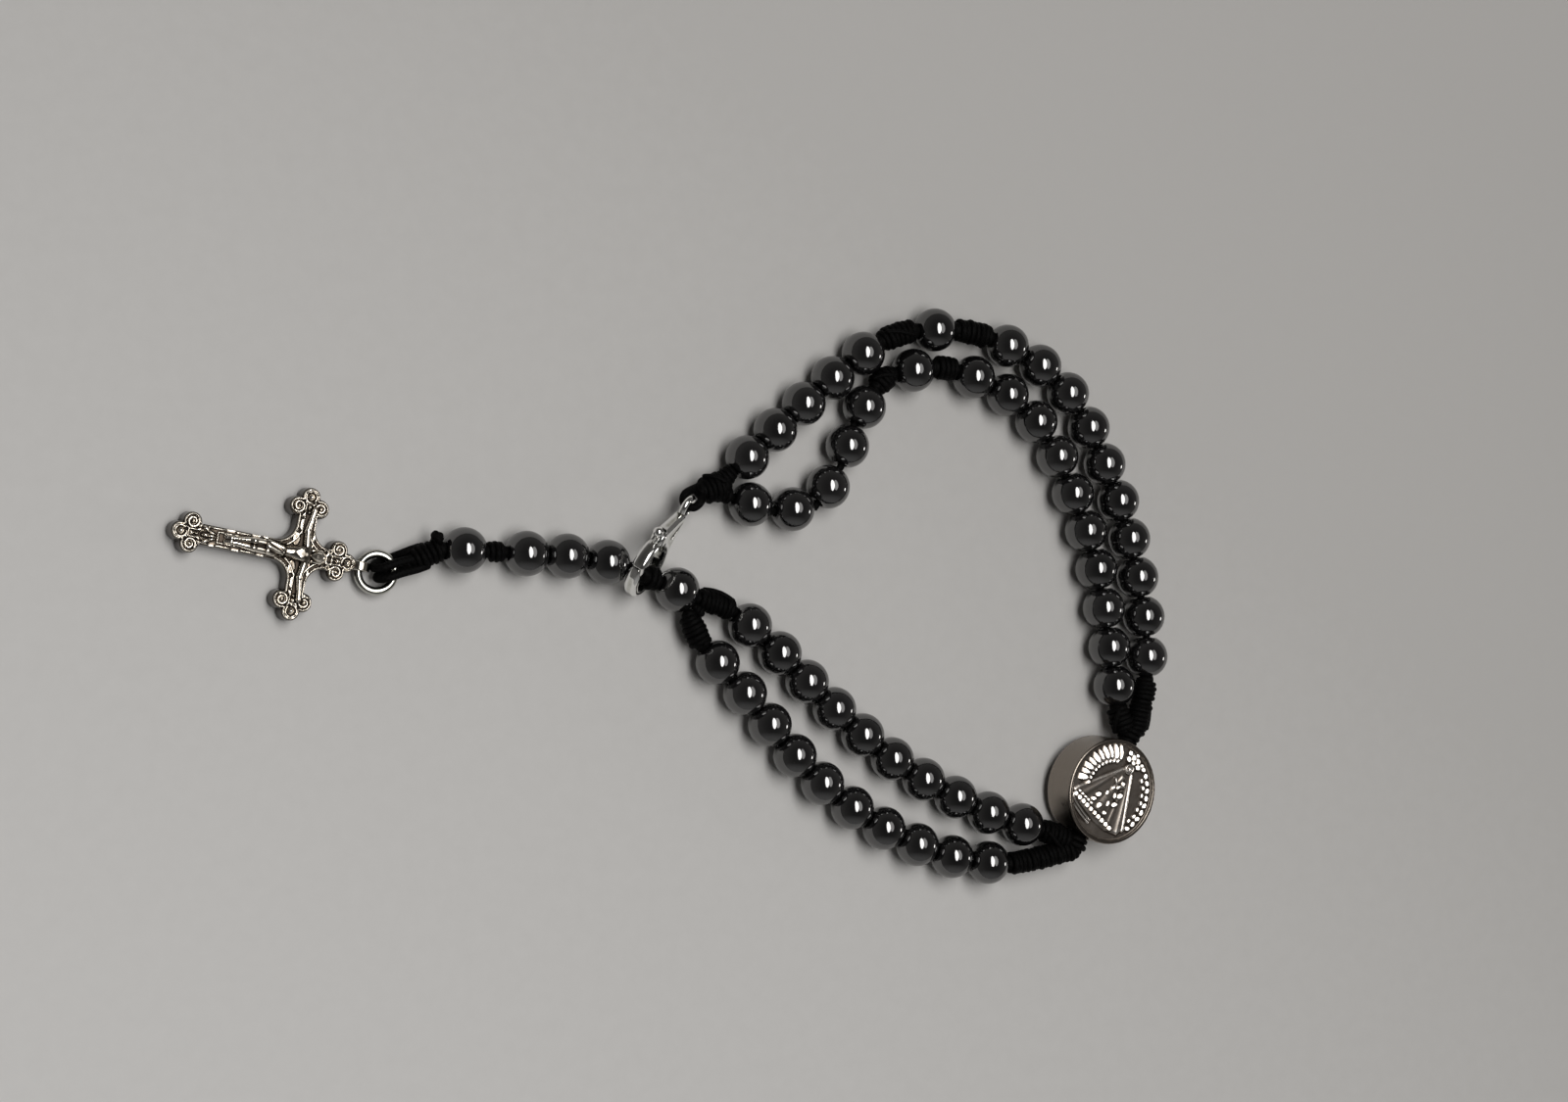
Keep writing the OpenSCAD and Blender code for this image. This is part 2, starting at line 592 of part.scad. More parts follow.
module crucifix_figure() {
    f = figure_l / 10.6;
    limb([0.5, 0, 0.25] * f, [-2.4, 0, 0.3] * f, 0.9 * f, 0.6 * f);
    limb([-2.2, 0, 0.3] * f, [-3.7, 0, 0.3] * f, 0.85 * f, 0.75 * f);
    translate([0.5, 0, 0.2] * f) sphere(r = 0.85 * f);
    for (side = [-1, 1]) {
        limb([0.5, side * 0.5, 0.3] * f, [0.1, side * 2.7, 0.3] * f, 0.48 * f, 0.36 * f);
        limb([0.1, side * 2.6, 0.3] * f, [0.5, side * 4.9, 0.2] * f, 0.36 * f, 0.3 * f);
        translate([0.5, side * 5, 0.2] * f) sphere(r = 0.42 * f);
        limb([-3.4, side * 0.35, 0.3] * f, [-5.4, side * 0.35, 0.5] * f, 0.5 * f, 0.42 * f);
        limb([-5.3, side * 0.32, 0.5] * f, [-7.9, side * 0.15, 0.2] * f, 0.42 * f, 0.28 * f);
    }
    translate([-7.9, 0, 0.2] * f) sphere(r = 0.42 * f);
    translate([1.7, 0, 0.4] * f) sphere(r = 0.72 * f);
    translate([1.65, 0, 1.05] * f) sphere(r = 0.16 * f);
    translate([1.25, 0, 0.7] * f) sphere(r = 0.4 * f);
}
module crucifix() {
    color([0.72, 0.7, 0.66]) translate(crucifix_place - raise(centre, crucifix_place[2]))
        rotate([0, 0, crucifix_turn]) difference() {
        union() {
            linear_extrude(cross_t) crucifix_outline(0);
            linear_extrude(cross_t + border_h) difference() {
                crucifix_outline(0);
                crucifix_outline(border_w);
            }
            linear_extrude(cross_t + border_h / 2) difference() {
                crucifix_outline(line_in);
                crucifix_outline(line_in + line_w);
            }
            for (tip = [[-foot_l, 0], [head_l, 0], [0, arm_l], [0, -arm_l]], side = [-1, 0, 1])
                let (inward = side == 0 ? lobe_r : lobe_in, away = unit(tip))
                translate(raise(tip - inward * away + side * lobe_side * [-away[1], away[0]],
                    cross_t - 0.1)) cylinder(h = 0.1 + border_h, r1 = 0.55, r2 = 0.3);
            translate([0, 0, cross_t]) crucifix_figure();
            translate([eyelet_x, 0, eyelet_z]) rotate([90, 0, 0])
                cylinder(h = eyelet_w, d = eyelet_hole_d + 2 * eyelet_wall, center = true);
        }
        translate([eyelet_x, 0, eyelet_z]) rotate([90, 0, 0])
            cylinder(h = 2 * lobe_r + eyelet_w, d = eyelet_hole_d, center = true);
    }
}

module jump_ring() {
    color([0.8, 0.8, 0.8]) translate(raise(ring_place, ring_z) - centre)
        rotate([0, -ring_tip, ring_turn]) rotate_extrude() translate([ring_r, 0])
        circle(d = ring_wire);
}

// Puts a shape drawn flat, with the clasp's eye at the origin, in its place
module at_clasp() {
    translate(raise(clasp_place, clasp_z) - centre)
        rotate([90 + clasp_lean, 0, clasp_turn]) children();
}
// Side of the claw that the lever closes, less a gap at the mouth
module lever_side(gap) {
    polygon([[0, 0], mouth[0] - [gap, 0], mouth[1] - [gap, 0], [1, 6], [-7, 6], [-7, 2.6],
        [-3.4, 1.2]]);
}
module clasp_body() {
    color([0.82, 0.82, 0.82]) at_clasp() {
        rotate_extrude() translate([eye_mid_r, 0]) circle(d = clasp_eye_wire);
        translate([claw_x, 0, 0]) {
            difference() {
                linear_extrude(claw_t, center = true) difference() {
                    union() {
                        difference() {
                            circle(r = claw_r);
                            lever_side(0);
                        }
                        polygon([[0.9 - claw_x, -0.45], [-3.6, -1.3], [-1.6, -3.1], [-2, -1.4],
                            [-2.3, 1.3], pivot, pivot + cheek_r * toward(120),
                            [0.9 - claw_x, 0.45]]);
                        translate(pivot) circle(r = cheek_r);
                    }
                    circle(r = claw_in_r);
                }
                linear_extrude(slot_t, center = true) union() {
                    translate(pivot) circle(r = cheek_r + lever_gap);
                    polygon([pivot + [-0.3, -cheek_r - 0.1], pivot + [3, -2], pivot + [3, 1.4],
                        pivot + [-0.3, cheek_r + 0.1]]);
                }
            }
            translate(pivot) cylinder(h = claw_t - 0.1, d = pin_d, center = true);
        }
    }
}
module clasp_lever() {
    color([0.82, 0.82, 0.82]) at_clasp() translate([claw_x, 0, 0]) difference() {
        union() {
            linear_extrude(claw_t, center = true) difference() {
                intersection() {
                    circle(r = claw_r);
                    lever_side(lever_gap);
                }
                circle(r = claw_in_r);
                polygon([[0, 0], pivot * 3, pivot * 3 + [-9, -9]]);
                translate(pivot) circle(r = cheek_r + lever_gap);
            }
            linear_extrude(lug_t, center = true) union() {
                translate(pivot) circle(r = cheek_r - 0.05);
                polygon([pivot + [0, -0.6], claw_in_r * toward(108), claw_r * toward(108),
                    pivot + [0, 0.8]]);
            }
            translate(pivot) rotate([-90, 0, 0]) cylinder(h = thumb_up, d = lug_t);
            translate(pivot + [0, thumb_up]) sphere(d = thumb_d);
        }
        translate(pivot) cylinder(h = 2 * claw_t, d = pin_d + 2 * pin_clearance, center = true);
    }
}

module stem_single() beads(stem, 0, 1);
module stem_knot() plain_knot(stem, 1, knot_d - 0.4);
module stem_three() beads(stem, stem_run_at, stem_run);
module join_bead() beads(stem, join_at, 1);
module lower_inner_ten() beads(lower_inner, 1, decade);
module lower_outer_ten() beads(lower_outer, 1, decade);
module upper_inner_ten() beads(upper_inner, decade_at, decade);
module upper_inner_knot_b() plain_knot(upper_inner, knot_at + 2);
module upper_inner_single() beads(upper_inner, knot_at + 1, 1);
module upper_inner_knot_a() plain_knot(upper_inner, knot_at);
module upper_inner_five() beads(upper_inner, 0, half_decade);
module upper_outer_ten() beads(upper_outer, decade_at, decade);
module upper_outer_knot_b() plain_knot(upper_outer, knot_at + 2);
module upper_outer_single() beads(upper_outer, knot_at + 1, 1);
module upper_outer_knot_a() plain_knot(upper_outer, knot_at);
module upper_outer_five() beads(upper_outer, 0, half_decade);
module stem_cord() color([0.07, 0.07, 0.07]) swept_cord(stem_path, cord_d, [0, 0, 1]);
module inner_cord() color([0.07, 0.07, 0.07]) swept_cord(inner_path, cord_d, [0, 0, 1]);
module outer_cord() color([0.07, 0.07, 0.07]) swept_cord(outer_path, cord_d, [0, 0, 1]);
module ring_loop() {
    color([0.07, 0.07, 0.07])
        swept_cord(smooth(ring_loop_path, 4), loop_cord_d, raise(toward(ring_turn + 90), 0));
}
module clasp_loop() {
    color([0.07, 0.07, 0.07]) swept_cord(smooth(clasp_loop_path, 4), loop_cord_d, clasp_up);
}

crucifix();
jump_ring();
ring_loop();
stem_end_knot();
stem_single();
stem_knot();
stem_three();
grip_knot();
join_bead();
stem_cord();
inner_cord();
outer_cord();
join_knots();
lower_inner_ten();
lower_outer_ten();
lower_end_knots();
medal();
upper_end_knots();
upper_inner_ten();
upper_inner_knot_b();
upper_inner_single();
upper_inner_knot_a();
upper_inner_five();
upper_outer_ten();
upper_outer_knot_b();
upper_outer_single();
upper_outer_knot_a();
upper_outer_five();
clasp_knot();
clasp_loop();
clasp_body();
clasp_lever();
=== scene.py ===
import math
import bpy
import numpy as np
from mathutils import Matrix, Vector


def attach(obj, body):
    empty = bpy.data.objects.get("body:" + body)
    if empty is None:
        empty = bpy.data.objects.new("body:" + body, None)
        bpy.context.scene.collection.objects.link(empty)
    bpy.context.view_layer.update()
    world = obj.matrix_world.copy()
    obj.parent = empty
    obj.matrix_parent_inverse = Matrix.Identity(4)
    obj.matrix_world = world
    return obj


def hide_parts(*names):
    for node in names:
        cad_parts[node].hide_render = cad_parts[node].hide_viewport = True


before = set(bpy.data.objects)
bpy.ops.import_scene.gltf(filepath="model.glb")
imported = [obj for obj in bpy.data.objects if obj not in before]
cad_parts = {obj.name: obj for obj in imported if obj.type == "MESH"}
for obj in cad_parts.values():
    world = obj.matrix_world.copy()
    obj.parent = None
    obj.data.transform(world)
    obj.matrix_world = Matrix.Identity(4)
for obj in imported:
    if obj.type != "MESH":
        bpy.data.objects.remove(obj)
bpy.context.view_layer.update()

# All shapes are worked out in millimetres, in the frame's own axes, and
# turned into metres when a mesh is made.
MM = 0.001
scene = bpy.context.scene
rng = np.random.default_rng(7)


# Layout: the strings' joints, worked out as the CAD parts do
BEAD_D, FLAT_D, HOLE_D, GAP = 5.0, 2.2, 1.3, 0.13
BEAD_L = math.sqrt(BEAD_D ** 2 - FLAT_D ** 2)
LOOP_D, KNOT_D, KNOT_GAP = 0.95, 2.8, 0.12
MEDAL_D, MEDAL_T, MEDAL_EDGE, MEDAL_TILT, MEDAL_TURN = 12.4, 4.6, 0.5, 6.0, -31.0
CLASP_TURN, CLASP_LEAN = -126.5, 32.0
ROUTES = {
    "stem": [(-41.4, 0.2), (-39, 0.1), (-31.8, -0.3), (-22.6, -0.9), (-20.4, -1.7),
             (-16.8, -3.3), (-14.6, -4.2), (-12.4, -5)],
    "lower_inner": [(-12.2, -5.3), (-6.6, -7.2), (-1.4, -11.8), (5.2, -18), (12.4, -23.8),
                    (20.6, -28.4), (29, -31.9), (36, -33)],
    "lower_outer": [(-12.9, -7), (-11, -10.8), (-5.8, -16), (0.3, -23.3), (7.6, -29.4),
                    (15.8, -33.8), (25, -36.3), (34, -35.6)],
    "upper_inner": [(-7.7, 6), (-3.1, 4.5), (1.2, 4.1), (4.9, 7.3), (6.8, 12.1), (9, 17.1),
                    (13.9, 20.8), (22.7, 20.4), (31.2, 15.6), (35.8, 7.7), (39.2, -1),
                    (41.1, -10.4), (41.7, -15), (42.5, -20)],
    "upper_outer": [(-7.4, 8.9), (-2.3, 13.6), (4.9, 19.6), (10.3, 23.6), (17.9, 25.6),
                    (27.2, 24.1), (35.4, 19), (40.4, 10.6), (43.9, 1.8), (45.9, -7.5),
                    (46.4, -12.2), (46.1, -18)],
}


def vec(*v):
    return np.array(v, float)


def unit(v):
    v = np.asarray(v, float)
    return v / np.linalg.norm(v)


def toward(angle):
    a = math.radians(angle)
    return vec(math.cos(a), math.sin(a), 0.0)


def mean(a, b):
    return (a + b) / 2


def into(a, b, d):
    return a + d * unit(b - a)


def square_to(v):
    """Unit vector at right angles to v."""
    return unit(np.cross(v, vec(0, 0, 1) if abs(v[2]) < 0.9 else vec(1, 0, 0)))


def circled(angles, n, b):
    """Unit vectors that turn from n toward b, one for each angle."""
    return np.cos(angles)[:, None] * n + np.sin(angles)[:, None] * b


def smooth(points, steps):
    p = [np.asarray(q, float) for q in points]
    out = []
    for i in range(len(p) - 1):
        a, b, c = p[max(i - 1, 0)], p[i], p[i + 1]
        d = p[min(i + 2, len(p) - 1)]
        for k in range(steps):
            t = k / steps
            out.append(0.5 * (2 * b + (c - a) * t + (2 * a - 5 * b + 4 * c - d) * t * t
                              + (3 * b - a - 3 * c + d) * t ** 3))
    out.append(p[-1])
    return out


def route(name):
    path = smooth(ROUTES[name], 8)
    path.append(path[-1] + 40 * unit(path[-1] - path[-2]))
    return path


def links(path, lengths, start):
    at, i, out = np.asarray(start, float), 0, [np.asarray(start, float)]
    for d in lengths:
        while i < len(path) - 2 and np.linalg.norm(path[i + 1] - at) < d:
            i += 1
        v, w = path[i + 1] - path[i], path[i] - at
        b, a = v @ w, v @ v
        at = path[i] + v * (math.sqrt(max(b * b - a * (w @ w - d * d), 0)) - b) / a
        out.append(at)
    return out


def bend(p, i):
    if i <= 0 or i >= len(p) - 1:
        return 0.0
    a, b = unit(p[i] - p[i - 1]), unit(p[i + 1] - p[i])
    return math.acos(min(a @ b, 1.0))


def lay(name, lengths, start=None):
    path = route(name)
    start = path[0] if start is None else start
    now = [d if d > 0 else BEAD_L + GAP for d in lengths]
    for _ in range(3):
        p = links(path, now, start)
        now = [d if d > 0 else BEAD_L + GAP + FLAT_D * math.tan(max(bend(p, i), bend(p, i + 1)) / 2)
               for i, d in enumerate(lengths)]
    return [vec(q[0], q[1], BEAD_D / 2) for q in p]


stem = lay("stem", [0, 2.5, 0, 0, 0, 4.1, 0])
lower_inner = lay("lower_inner", [5.0] + [0] * 10, stem[-1][:2])
lower_outer = lay("lower_outer", [4.1] + [0] * 10)
upper_inner = lay("upper_inner", [0] * 5 + [3.0, 0, 3.0] + [0] * 10)
upper_outer = lay("upper_outer", [0] * 5 + [4.9, 0, 4.9] + [0] * 10)

# The middle of the outline is over the frame's origin, as in the CAD parts
LOBE_R, FOOT_L, HEAD_L, ARM_L = 1.1, 14.2, 6.2, 7.2
RING_D, RING_WIRE, EYELET_X, EYELET_Z = 4.9, 0.9, 6.7, 1.2
RING_R = (RING_D - RING_WIRE) / 2
RING_OFF, END_KNOT_L = 1.95, 3.7
crucifix_turn, ring_turn, ring_swing = -11.0, 19.0, -9.0
ring_along, ring_across = toward(ring_turn), toward(ring_turn + 90)
end_knot_dir = vec(-ring_along[0], -ring_along[1], -0.12)
end_knot_b = stem[0] + END_KNOT_L * end_knot_dir
ring_place = end_knot_b - (RING_OFF + RING_R) * ring_along
ring_place[2] = 0
ring_high = LOOP_D + 0.2 + RING_WIRE / 2
ring_tip = math.asin((ring_high - EYELET_Z) / (2 * RING_R))
ring_z = (EYELET_Z + ring_high) / 2
ring_hold = ring_place - RING_R * toward(crucifix_turn + ring_swing)
crucifix_place = ring_hold - EYELET_X * toward(crucifix_turn)
shrink = math.cos(math.radians(crucifix_turn))
left_x = crucifix_place[0] - FOOT_L * shrink - LOBE_R * (1 - shrink)
right_x = max(mean(upper_outer[i], upper_outer[i + 1])[0] for i in range(8, 18)) + BEAD_D / 2
low_y = min(mean(lower_outer[i], lower_outer[i + 1])[1] for i in range(1, 11)) - BEAD_D / 2
high_y = mean(upper_outer[6], upper_outer[7])[1] + BEAD_D / 2
CENTRE = vec((left_x + right_x) / 2, (low_y + high_y) / 2, 0)

medal_z = ((MEDAL_T / 2 - MEDAL_EDGE) * math.cos(math.radians(MEDAL_TILT))
           + (MEDAL_D / 2 - MEDAL_EDGE) * math.sin(math.radians(MEDAL_TILT)) + MEDAL_EDGE)
medal_place = vec(39.9, -28.1, 0)


def on_lane(lane, out):
    p = medal_place + lane * toward(MEDAL_TURN) + out * toward(MEDAL_TURN + 90)
    p[2] = medal_z
    return p


stem, lower_inner, lower_outer, upper_inner, upper_outer = (
    [q - CENTRE for q in joints] for joints in (stem, lower_inner, lower_outer, upper_inner, upper_outer))
end_knot_b = end_knot_b - CENTRE
ring_at = vec(ring_place[0], ring_place[1], ring_z) - CENTRE


# Meshes
def build(name, verts, faces, material, uv=None, attrs=None, sharp=None):
    """Mesh object from points in millimetres and a list of arrays of triangles or quads."""
    faces = [np.asarray(f, np.int64) for f in faces]
    me = bpy.data.meshes.new(name)
    me.vertices.add(len(verts))
    me.vertices.foreach_set("co", (np.asarray(verts, float) * MM).astype(np.float32).ravel())
    loops = np.concatenate([f.ravel() for f in faces])
    sizes = np.concatenate([np.full(len(f), f.shape[1]) for f in faces])
    me.loops.add(len(loops))
    me.loops.foreach_set("vertex_index", loops.astype(np.int32))
    me.polygons.add(len(sizes))
    me.polygons.foreach_set("loop_start", (np.cumsum(sizes) - sizes).astype(np.int32))
    me.polygons.foreach_set("loop_total", sizes.astype(np.int32))
    me.polygons.foreach_set("use_smooth", np.ones(len(sizes), bool))
    me.update(calc_edges=True)
    if uv is not None:
        layer = me.uv_layers.new(name="UVMap")
        layer.data.foreach_set("uv", np.asarray(uv, np.float32)[loops].ravel())
    for key, values in (attrs or {}).items():
        stored = me.attributes.new(key, "FLOAT", "POINT")
        stored.data.foreach_set("value", np.asarray(values, np.float32))
    if sharp:
        me.set_sharp_from_angle(angle=math.radians(sharp))
    me.validate()
    me.materials.append(material)
    ob = bpy.data.objects.new(name, me)
    scene.collection.objects.link(ob)
    return ob


def fitted(ob, node_name, body="bracelet"):
    """Puts an object in the place of one of the CAD's nodes."""
    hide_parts(node_name)
    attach(ob, body)


class Pile:
    """Several shapes gathered into one mesh."""

    def __init__(self):
        self.verts, self.quads, self.tris, self.uv, self.tone = [], [], [], [], []
        self.count = 0

    def add(self, verts, quads, tris=None, uv=None, tone=0.0):
        self.verts.append(verts)
        self.quads.append(quads + self.count)
        if tris is not None:
            self.tris.append(tris + self.count)
        self.uv.append(np.zeros((len(verts), 2)) if uv is None else uv)
        self.tone.append(np.full(len(verts), tone))
        self.count += len(verts)

    def made(self, name, material, sharp=None):
        faces = [np.concatenate(part) for part in (self.quads, self.tris) if part]
        return build(name, np.concatenate(self.verts), faces, material, np.concatenate(self.uv),
                     {"tone": np.concatenate(self.tone)}, sharp)


def frames(path):
    """Tangent and two normals along a path, without twist."""
    p = np.asarray(path, float)
    t = np.gradient(p, axis=0)
    t /= np.linalg.norm(t, axis=1)[:, None]
    n = np.zeros_like(p)
    n[0] = square_to(t[0])
    for i in range(1, len(p)):
        m = n[i - 1] - (n[i - 1] @ t[i]) * t[i]
        n[i] = m / max(np.linalg.norm(m), 1e-9)
    return t, n, np.cross(t, n)


def tube(pile, path, radius, sides):
    """Round tube with domed ends; uv is the length along it and the share of a turn round it."""
    p = np.asarray(path, float)
    r = np.broadcast_to(np.asarray(radius, float), (len(p),))
    t, n, b = frames(p)
    # two smaller rings beyond each end: how far out and how wide, in shares of the radius
    out, share = np.array([0.81, 0.495]), np.array([0.45, 0.84])
    mids = np.concatenate([p[0] - out[:, None] * r[0] * t[0], p, p[-1] + out[::-1, None] * r[-1] * t[-1]])
    wide = np.concatenate([share * r[0], r, share[::-1] * r[-1]])
    n, b = (np.concatenate([a[[0, 0]], a, a[[-1, -1]]])[:, None] for a in (n, b))
    turn = np.linspace(0, 1, sides + 1)
    ring = mids[:, None] + wide[:, None, None] * circled(2 * math.pi * turn, n, b)
    along = np.concatenate([[0], np.cumsum(np.linalg.norm(np.diff(mids, axis=0), axis=1))])
    uv = np.stack(np.broadcast_arrays(along[:, None], turn), -1).reshape(-1, 2)
    k, last = sides + 1, (len(mids) - 1) * (sides + 1)
    i, j = np.indices((len(mids) - 1, sides))
    a = (i * k + j).ravel()
    quads = np.stack([a, a + 1, a + k + 1, a + k], 1)
    verts = np.concatenate([ring.reshape(-1, 3), [p[0] - t[0] * r[0], p[-1] + t[-1] * r[-1]]])
    uv = np.concatenate([uv, [[0, 0], [along[-1], 0]]])
    j, tip = np.arange(sides), np.full(sides, len(verts) - 2)
    tris = np.concatenate([np.stack([tip, j + 1, j], 1), np.stack([tip + 1, last + j, last + j + 1], 1)])
    pile.add(verts, quads, tris, uv)


def lathe(pile, profile, centre, axis, sides, tone):
    """Turns a closed outline (out from the axis, along it) about an axis."""
    z = unit(axis)
    x = square_to(z)
    outline = np.asarray(profile, float)
    out = circled(np.linspace(0, 2 * math.pi, sides, endpoint=False), x, np.cross(z, x))
    verts = (centre + outline[:, :1] * out[:, None] + outline[:, 1:] * z).reshape(-1, 3)
    k = len(outline)
    i, j = (a.ravel() for a in np.indices((sides, k)))
    i2, j2 = (i + 1) % sides, (j + 1) % k
    pile.add(verts, np.stack([i * k + j, i2 * k + j, i2 * k + j2, i * k + j2], 1), tone=tone)


# Solid shapes as distance fields on a grid, skinned with a smooth net
def surface_net(f, low, step):
    neg, n = f < 0, f.shape
    cut = lambda a, i, j, k: a[i:n[0] - 1 + i, j:n[1] - 1 + j, k:n[2] - 1 + k]
    count = np.zeros([m - 1 for m in n], np.int8)
    for i in (0, 1):
        for j in (0, 1):
            for k in (0, 1):
                count += cut(neg, i, j, k)
    active = (count > 0) & (count < 8)
    index = np.full(active.shape, -1, np.int64)
    index[active] = np.arange(int(active.sum()))
    cells = np.argwhere(active)
    total, hits = np.zeros((len(cells), 3)), np.zeros(len(cells))
    value = lambda o: f[cells[:, 0] + o[0], cells[:, 1] + o[1], cells[:, 2] + o[2]]
    for axis in range(3):
        u, v = [a for a in range(3) if a != axis]
        for p in (0, 1):
            for q in (0, 1):
                o = [0, 0, 0]
                o[u], o[v] = p, q
                e = list(o)
                e[axis] = 1
                a, b = value(o), value(e)
                hit = (a < 0) != (b < 0)
                at = np.tile(np.array(o, float), (len(cells), 1))
                at[hit, axis] = a[hit] / (a[hit] - b[hit])
                total[hit] += at[hit]
                hits[hit] += 1
    verts = np.asarray(low) + np.asarray(step) * (cells + total / hits[:, None])
    quads = []
    for axis in range(3):
        u, v = [a for a in range(3) if a != axis]
        a = neg.take(range(0, n[axis] - 1), axis)
        b = neg.take(range(1, n[axis]), axis)
        at = np.argwhere(a != b)
        at = at[(at[:, u] > 0) & (at[:, v] > 0) & (at[:, u] < n[u] - 1) & (at[:, v] < n[v] - 1)]
        du, dv = np.zeros(3, int), np.zeros(3, int)
        du[u], dv[v] = 1, 1
        find = lambda c: index[c[:, 0], c[:, 1], c[:, 2]]
        quad = np.stack([find(at - du - dv), find(at - dv), find(at), find(at - du)], 1)
        keep = a[tuple(at.T)] ^ (axis == 1)
        quad[~keep] = quad[~keep][:, ::-1]
        quads.append(quad)
    return verts, np.concatenate(quads)


def box_blur(a, r):
    for axis in range(3):
        for _ in range(2):
            pad = [(0, 0)] * 3
            pad[axis] = (r + 1, r)
            c = np.cumsum(np.pad(a, pad, mode="edge"), axis=axis, dtype=np.float32)
            n = a.shape[axis]
            a = (c.take(range(2 * r + 1, 2 * r + 1 + n), axis)
                 - c.take(range(0, n), axis)) / (2 * r + 1)
    return a


def sampled(grid, at):
    """Values of a grid at points between its own, given in steps from its corner."""
    top = np.array(grid.shape) - 2
    i = np.clip(np.floor(at).astype(int), 0, top)
    w = np.clip(at - i, 0, 1)
    total = np.zeros(len(at))
    for corner in np.ndindex(2, 2, 2):
        share = np.prod(np.where(corner, w, 1 - w), axis=1)
        total += share * grid[tuple((i + corner).T)]
    return total


WALL_SHADE_AND_PATINA_BLEND = 0.16


def solid(name, shape, low, high, step, material, place, face):
    """Skins shape(x, y, z), a distance in millimetres that is negative inside, and stores how
    hollow the surface is at a fine and at a coarse scale, and what lies under face(points),
    where the material paints a darker tone: partly patina, partly painted shade."""
    step = np.broadcast_to(np.asarray(step, float), (3,))
    axes = [np.arange(low[i], high[i] + step[i], step[i]).astype(np.float32) for i in range(3)]
    f = shape(*np.meshgrid(*axes, indexing="ij", sparse=True)).astype(np.float32)
    f[f == 0] = 1e-6
    verts, quads = surface_net(f, low, step)
    full = np.clip(0.5 - f / step.min(), 0, 1).astype(np.float32)
    # painted shade, partly patina: points under face(points) get the darker side tone
    attrs = {"wall_shade_and_patina": np.clip((face(verts) - verts[:, 2]) / WALL_SHADE_AND_PATINA_BLEND, 0, 1)}
    for key, reach in (("fine", 2), ("broad", 6)):
        attrs[key] = sampled(box_blur(full, reach), (verts - np.asarray(low)) / step) - 0.5
    turn, at = place
    return build(name, verts @ turn.T + at, [quads], material, attrs=attrs)


def smin(a, b, k):
    h = np.clip(0.5 + 0.5 * (b - a) / k, 0, 1)
    return b + (a - b) * h - k * h * (1 - h)


def smax(a, b, k):
    return -smin(-a, -b, k)


def capsule(x, y, z, a, b, ra, rb):
    """Limb from a to b, with a radius at each end."""
    a, b = np.asarray(a, float), np.asarray(b, float)
    d = b - a
    t = np.clip(((x - a[0]) * d[0] + (y - a[1]) * d[1] + (z - a[2]) * d[2]) / (d @ d), 0, 1)
    return (np.sqrt((x - a[0] - t * d[0]) ** 2 + (y - a[1] - t * d[1]) ** 2
                    + (z - a[2] - t * d[2]) ** 2) - (ra + (rb - ra) * t))


def ball(x, y, z, c, r, squash=(1, 1, 1)):
    k = [1 / s for s in squash]
    return (np.sqrt(((x - c[0]) * k[0]) ** 2 + ((y - c[1]) * k[1]) ** 2
                    + ((z - c[2]) * k[2]) ** 2) - r) * min(squash)


def box2(x, y, cx, cy, hx, hy):
    dx, dy = np.abs(x - cx) - hx, np.abs(y - cy) - hy
    return np.hypot(np.maximum(dx, 0), np.maximum(dy, 0)) + np.minimum(np.maximum(dx, dy), 0)


def poly2(x, y, pts):
    """Distance to a polygon's edge, negative inside it."""
    x, y = np.broadcast_arrays(x, y)
    inside = np.zeros(x.shape, bool)
    for (ax, ay), (bx, by) in zip(pts, [*pts[1:], pts[0]]):
        if ay != by:
            inside ^= ((ay > y) != (by > y)) & (x < ax + (bx - ax) * (y - ay) / (by - ay))
    return np.where(inside, -1, 1) * stroke(x, y, [*pts, pts[0]])


def stroke(x, y, pts):
    """Distance to a line through points."""
    d = np.full(np.broadcast(x, y).shape, 1e9)
    for (ax, ay), (bx, by) in zip(pts[:-1], pts[1:]):
        ex, ey = bx - ax, by - ay
        t = np.clip(((x - ax) * ex + (y - ay) * ey) / (ex * ex + ey * ey), 0, 1)
        d = np.minimum(d, (x - ax - ex * t) ** 2 + (y - ay - ey * t) ** 2)
    return np.sqrt(d)


def ridge(d, w, h):
    """Height of a rounded line of half width w, from the distance to it."""
    return h * np.clip(1 - (d / w) ** 2, 0, 1) ** 0.75


def rounded(d2, dz, r):
    """Flat shape given thickness, with edges rounded to r."""
    a, b = d2 + r, dz + r
    return np.hypot(np.maximum(a, 0), np.maximum(b, 0)) + np.minimum(np.maximum(a, b), 0) - r


def turned(az, tilt=0.0, lean=0.0):
    """Matrix that turns by lean about x, then by tilt about y, then by az about z, in degrees."""
    turns = [Matrix.Rotation(math.radians(a), 3, axis) for a, axis in ((az, "Z"), (tilt, "Y"), (lean, "X"))]
    return np.array(turns[0] @ turns[1] @ turns[2])


# Materials
def nodes_of(name):
    m = bpy.data.materials.new(name)
    m.use_nodes = True
    t = m.node_tree
    return m, t, t.nodes["Principled BSDF"]


def ramp(t, source, stops):
    n = t.nodes.new("ShaderNodeValToRGB")
    e = n.color_ramp.elements
    while len(e) < len(stops):
        e.new(0.5)
    for k, (at, c) in enumerate(stops):
        e[k].position = at
        e[k].color = (*c, 1) if hasattr(c, "__len__") else (c, c, c, 1)
    t.links.new(source, n.inputs["Fac"])
    return n.outputs["Color"]


def math_node(t, op, a, b=None):
    n = t.nodes.new("ShaderNodeMath")
    n.operation = op
    for k, x in enumerate((a, b)):
        if isinstance(x, (int, float)):
            n.inputs[k].default_value = x
        elif x is not None:
            t.links.new(x, n.inputs[k])
    return n.outputs[0]


def plus(t, a, b):
    return math_node(t, "ADD", a, b)


def times(t, a, b):
    return math_node(t, "MULTIPLY", a, b)


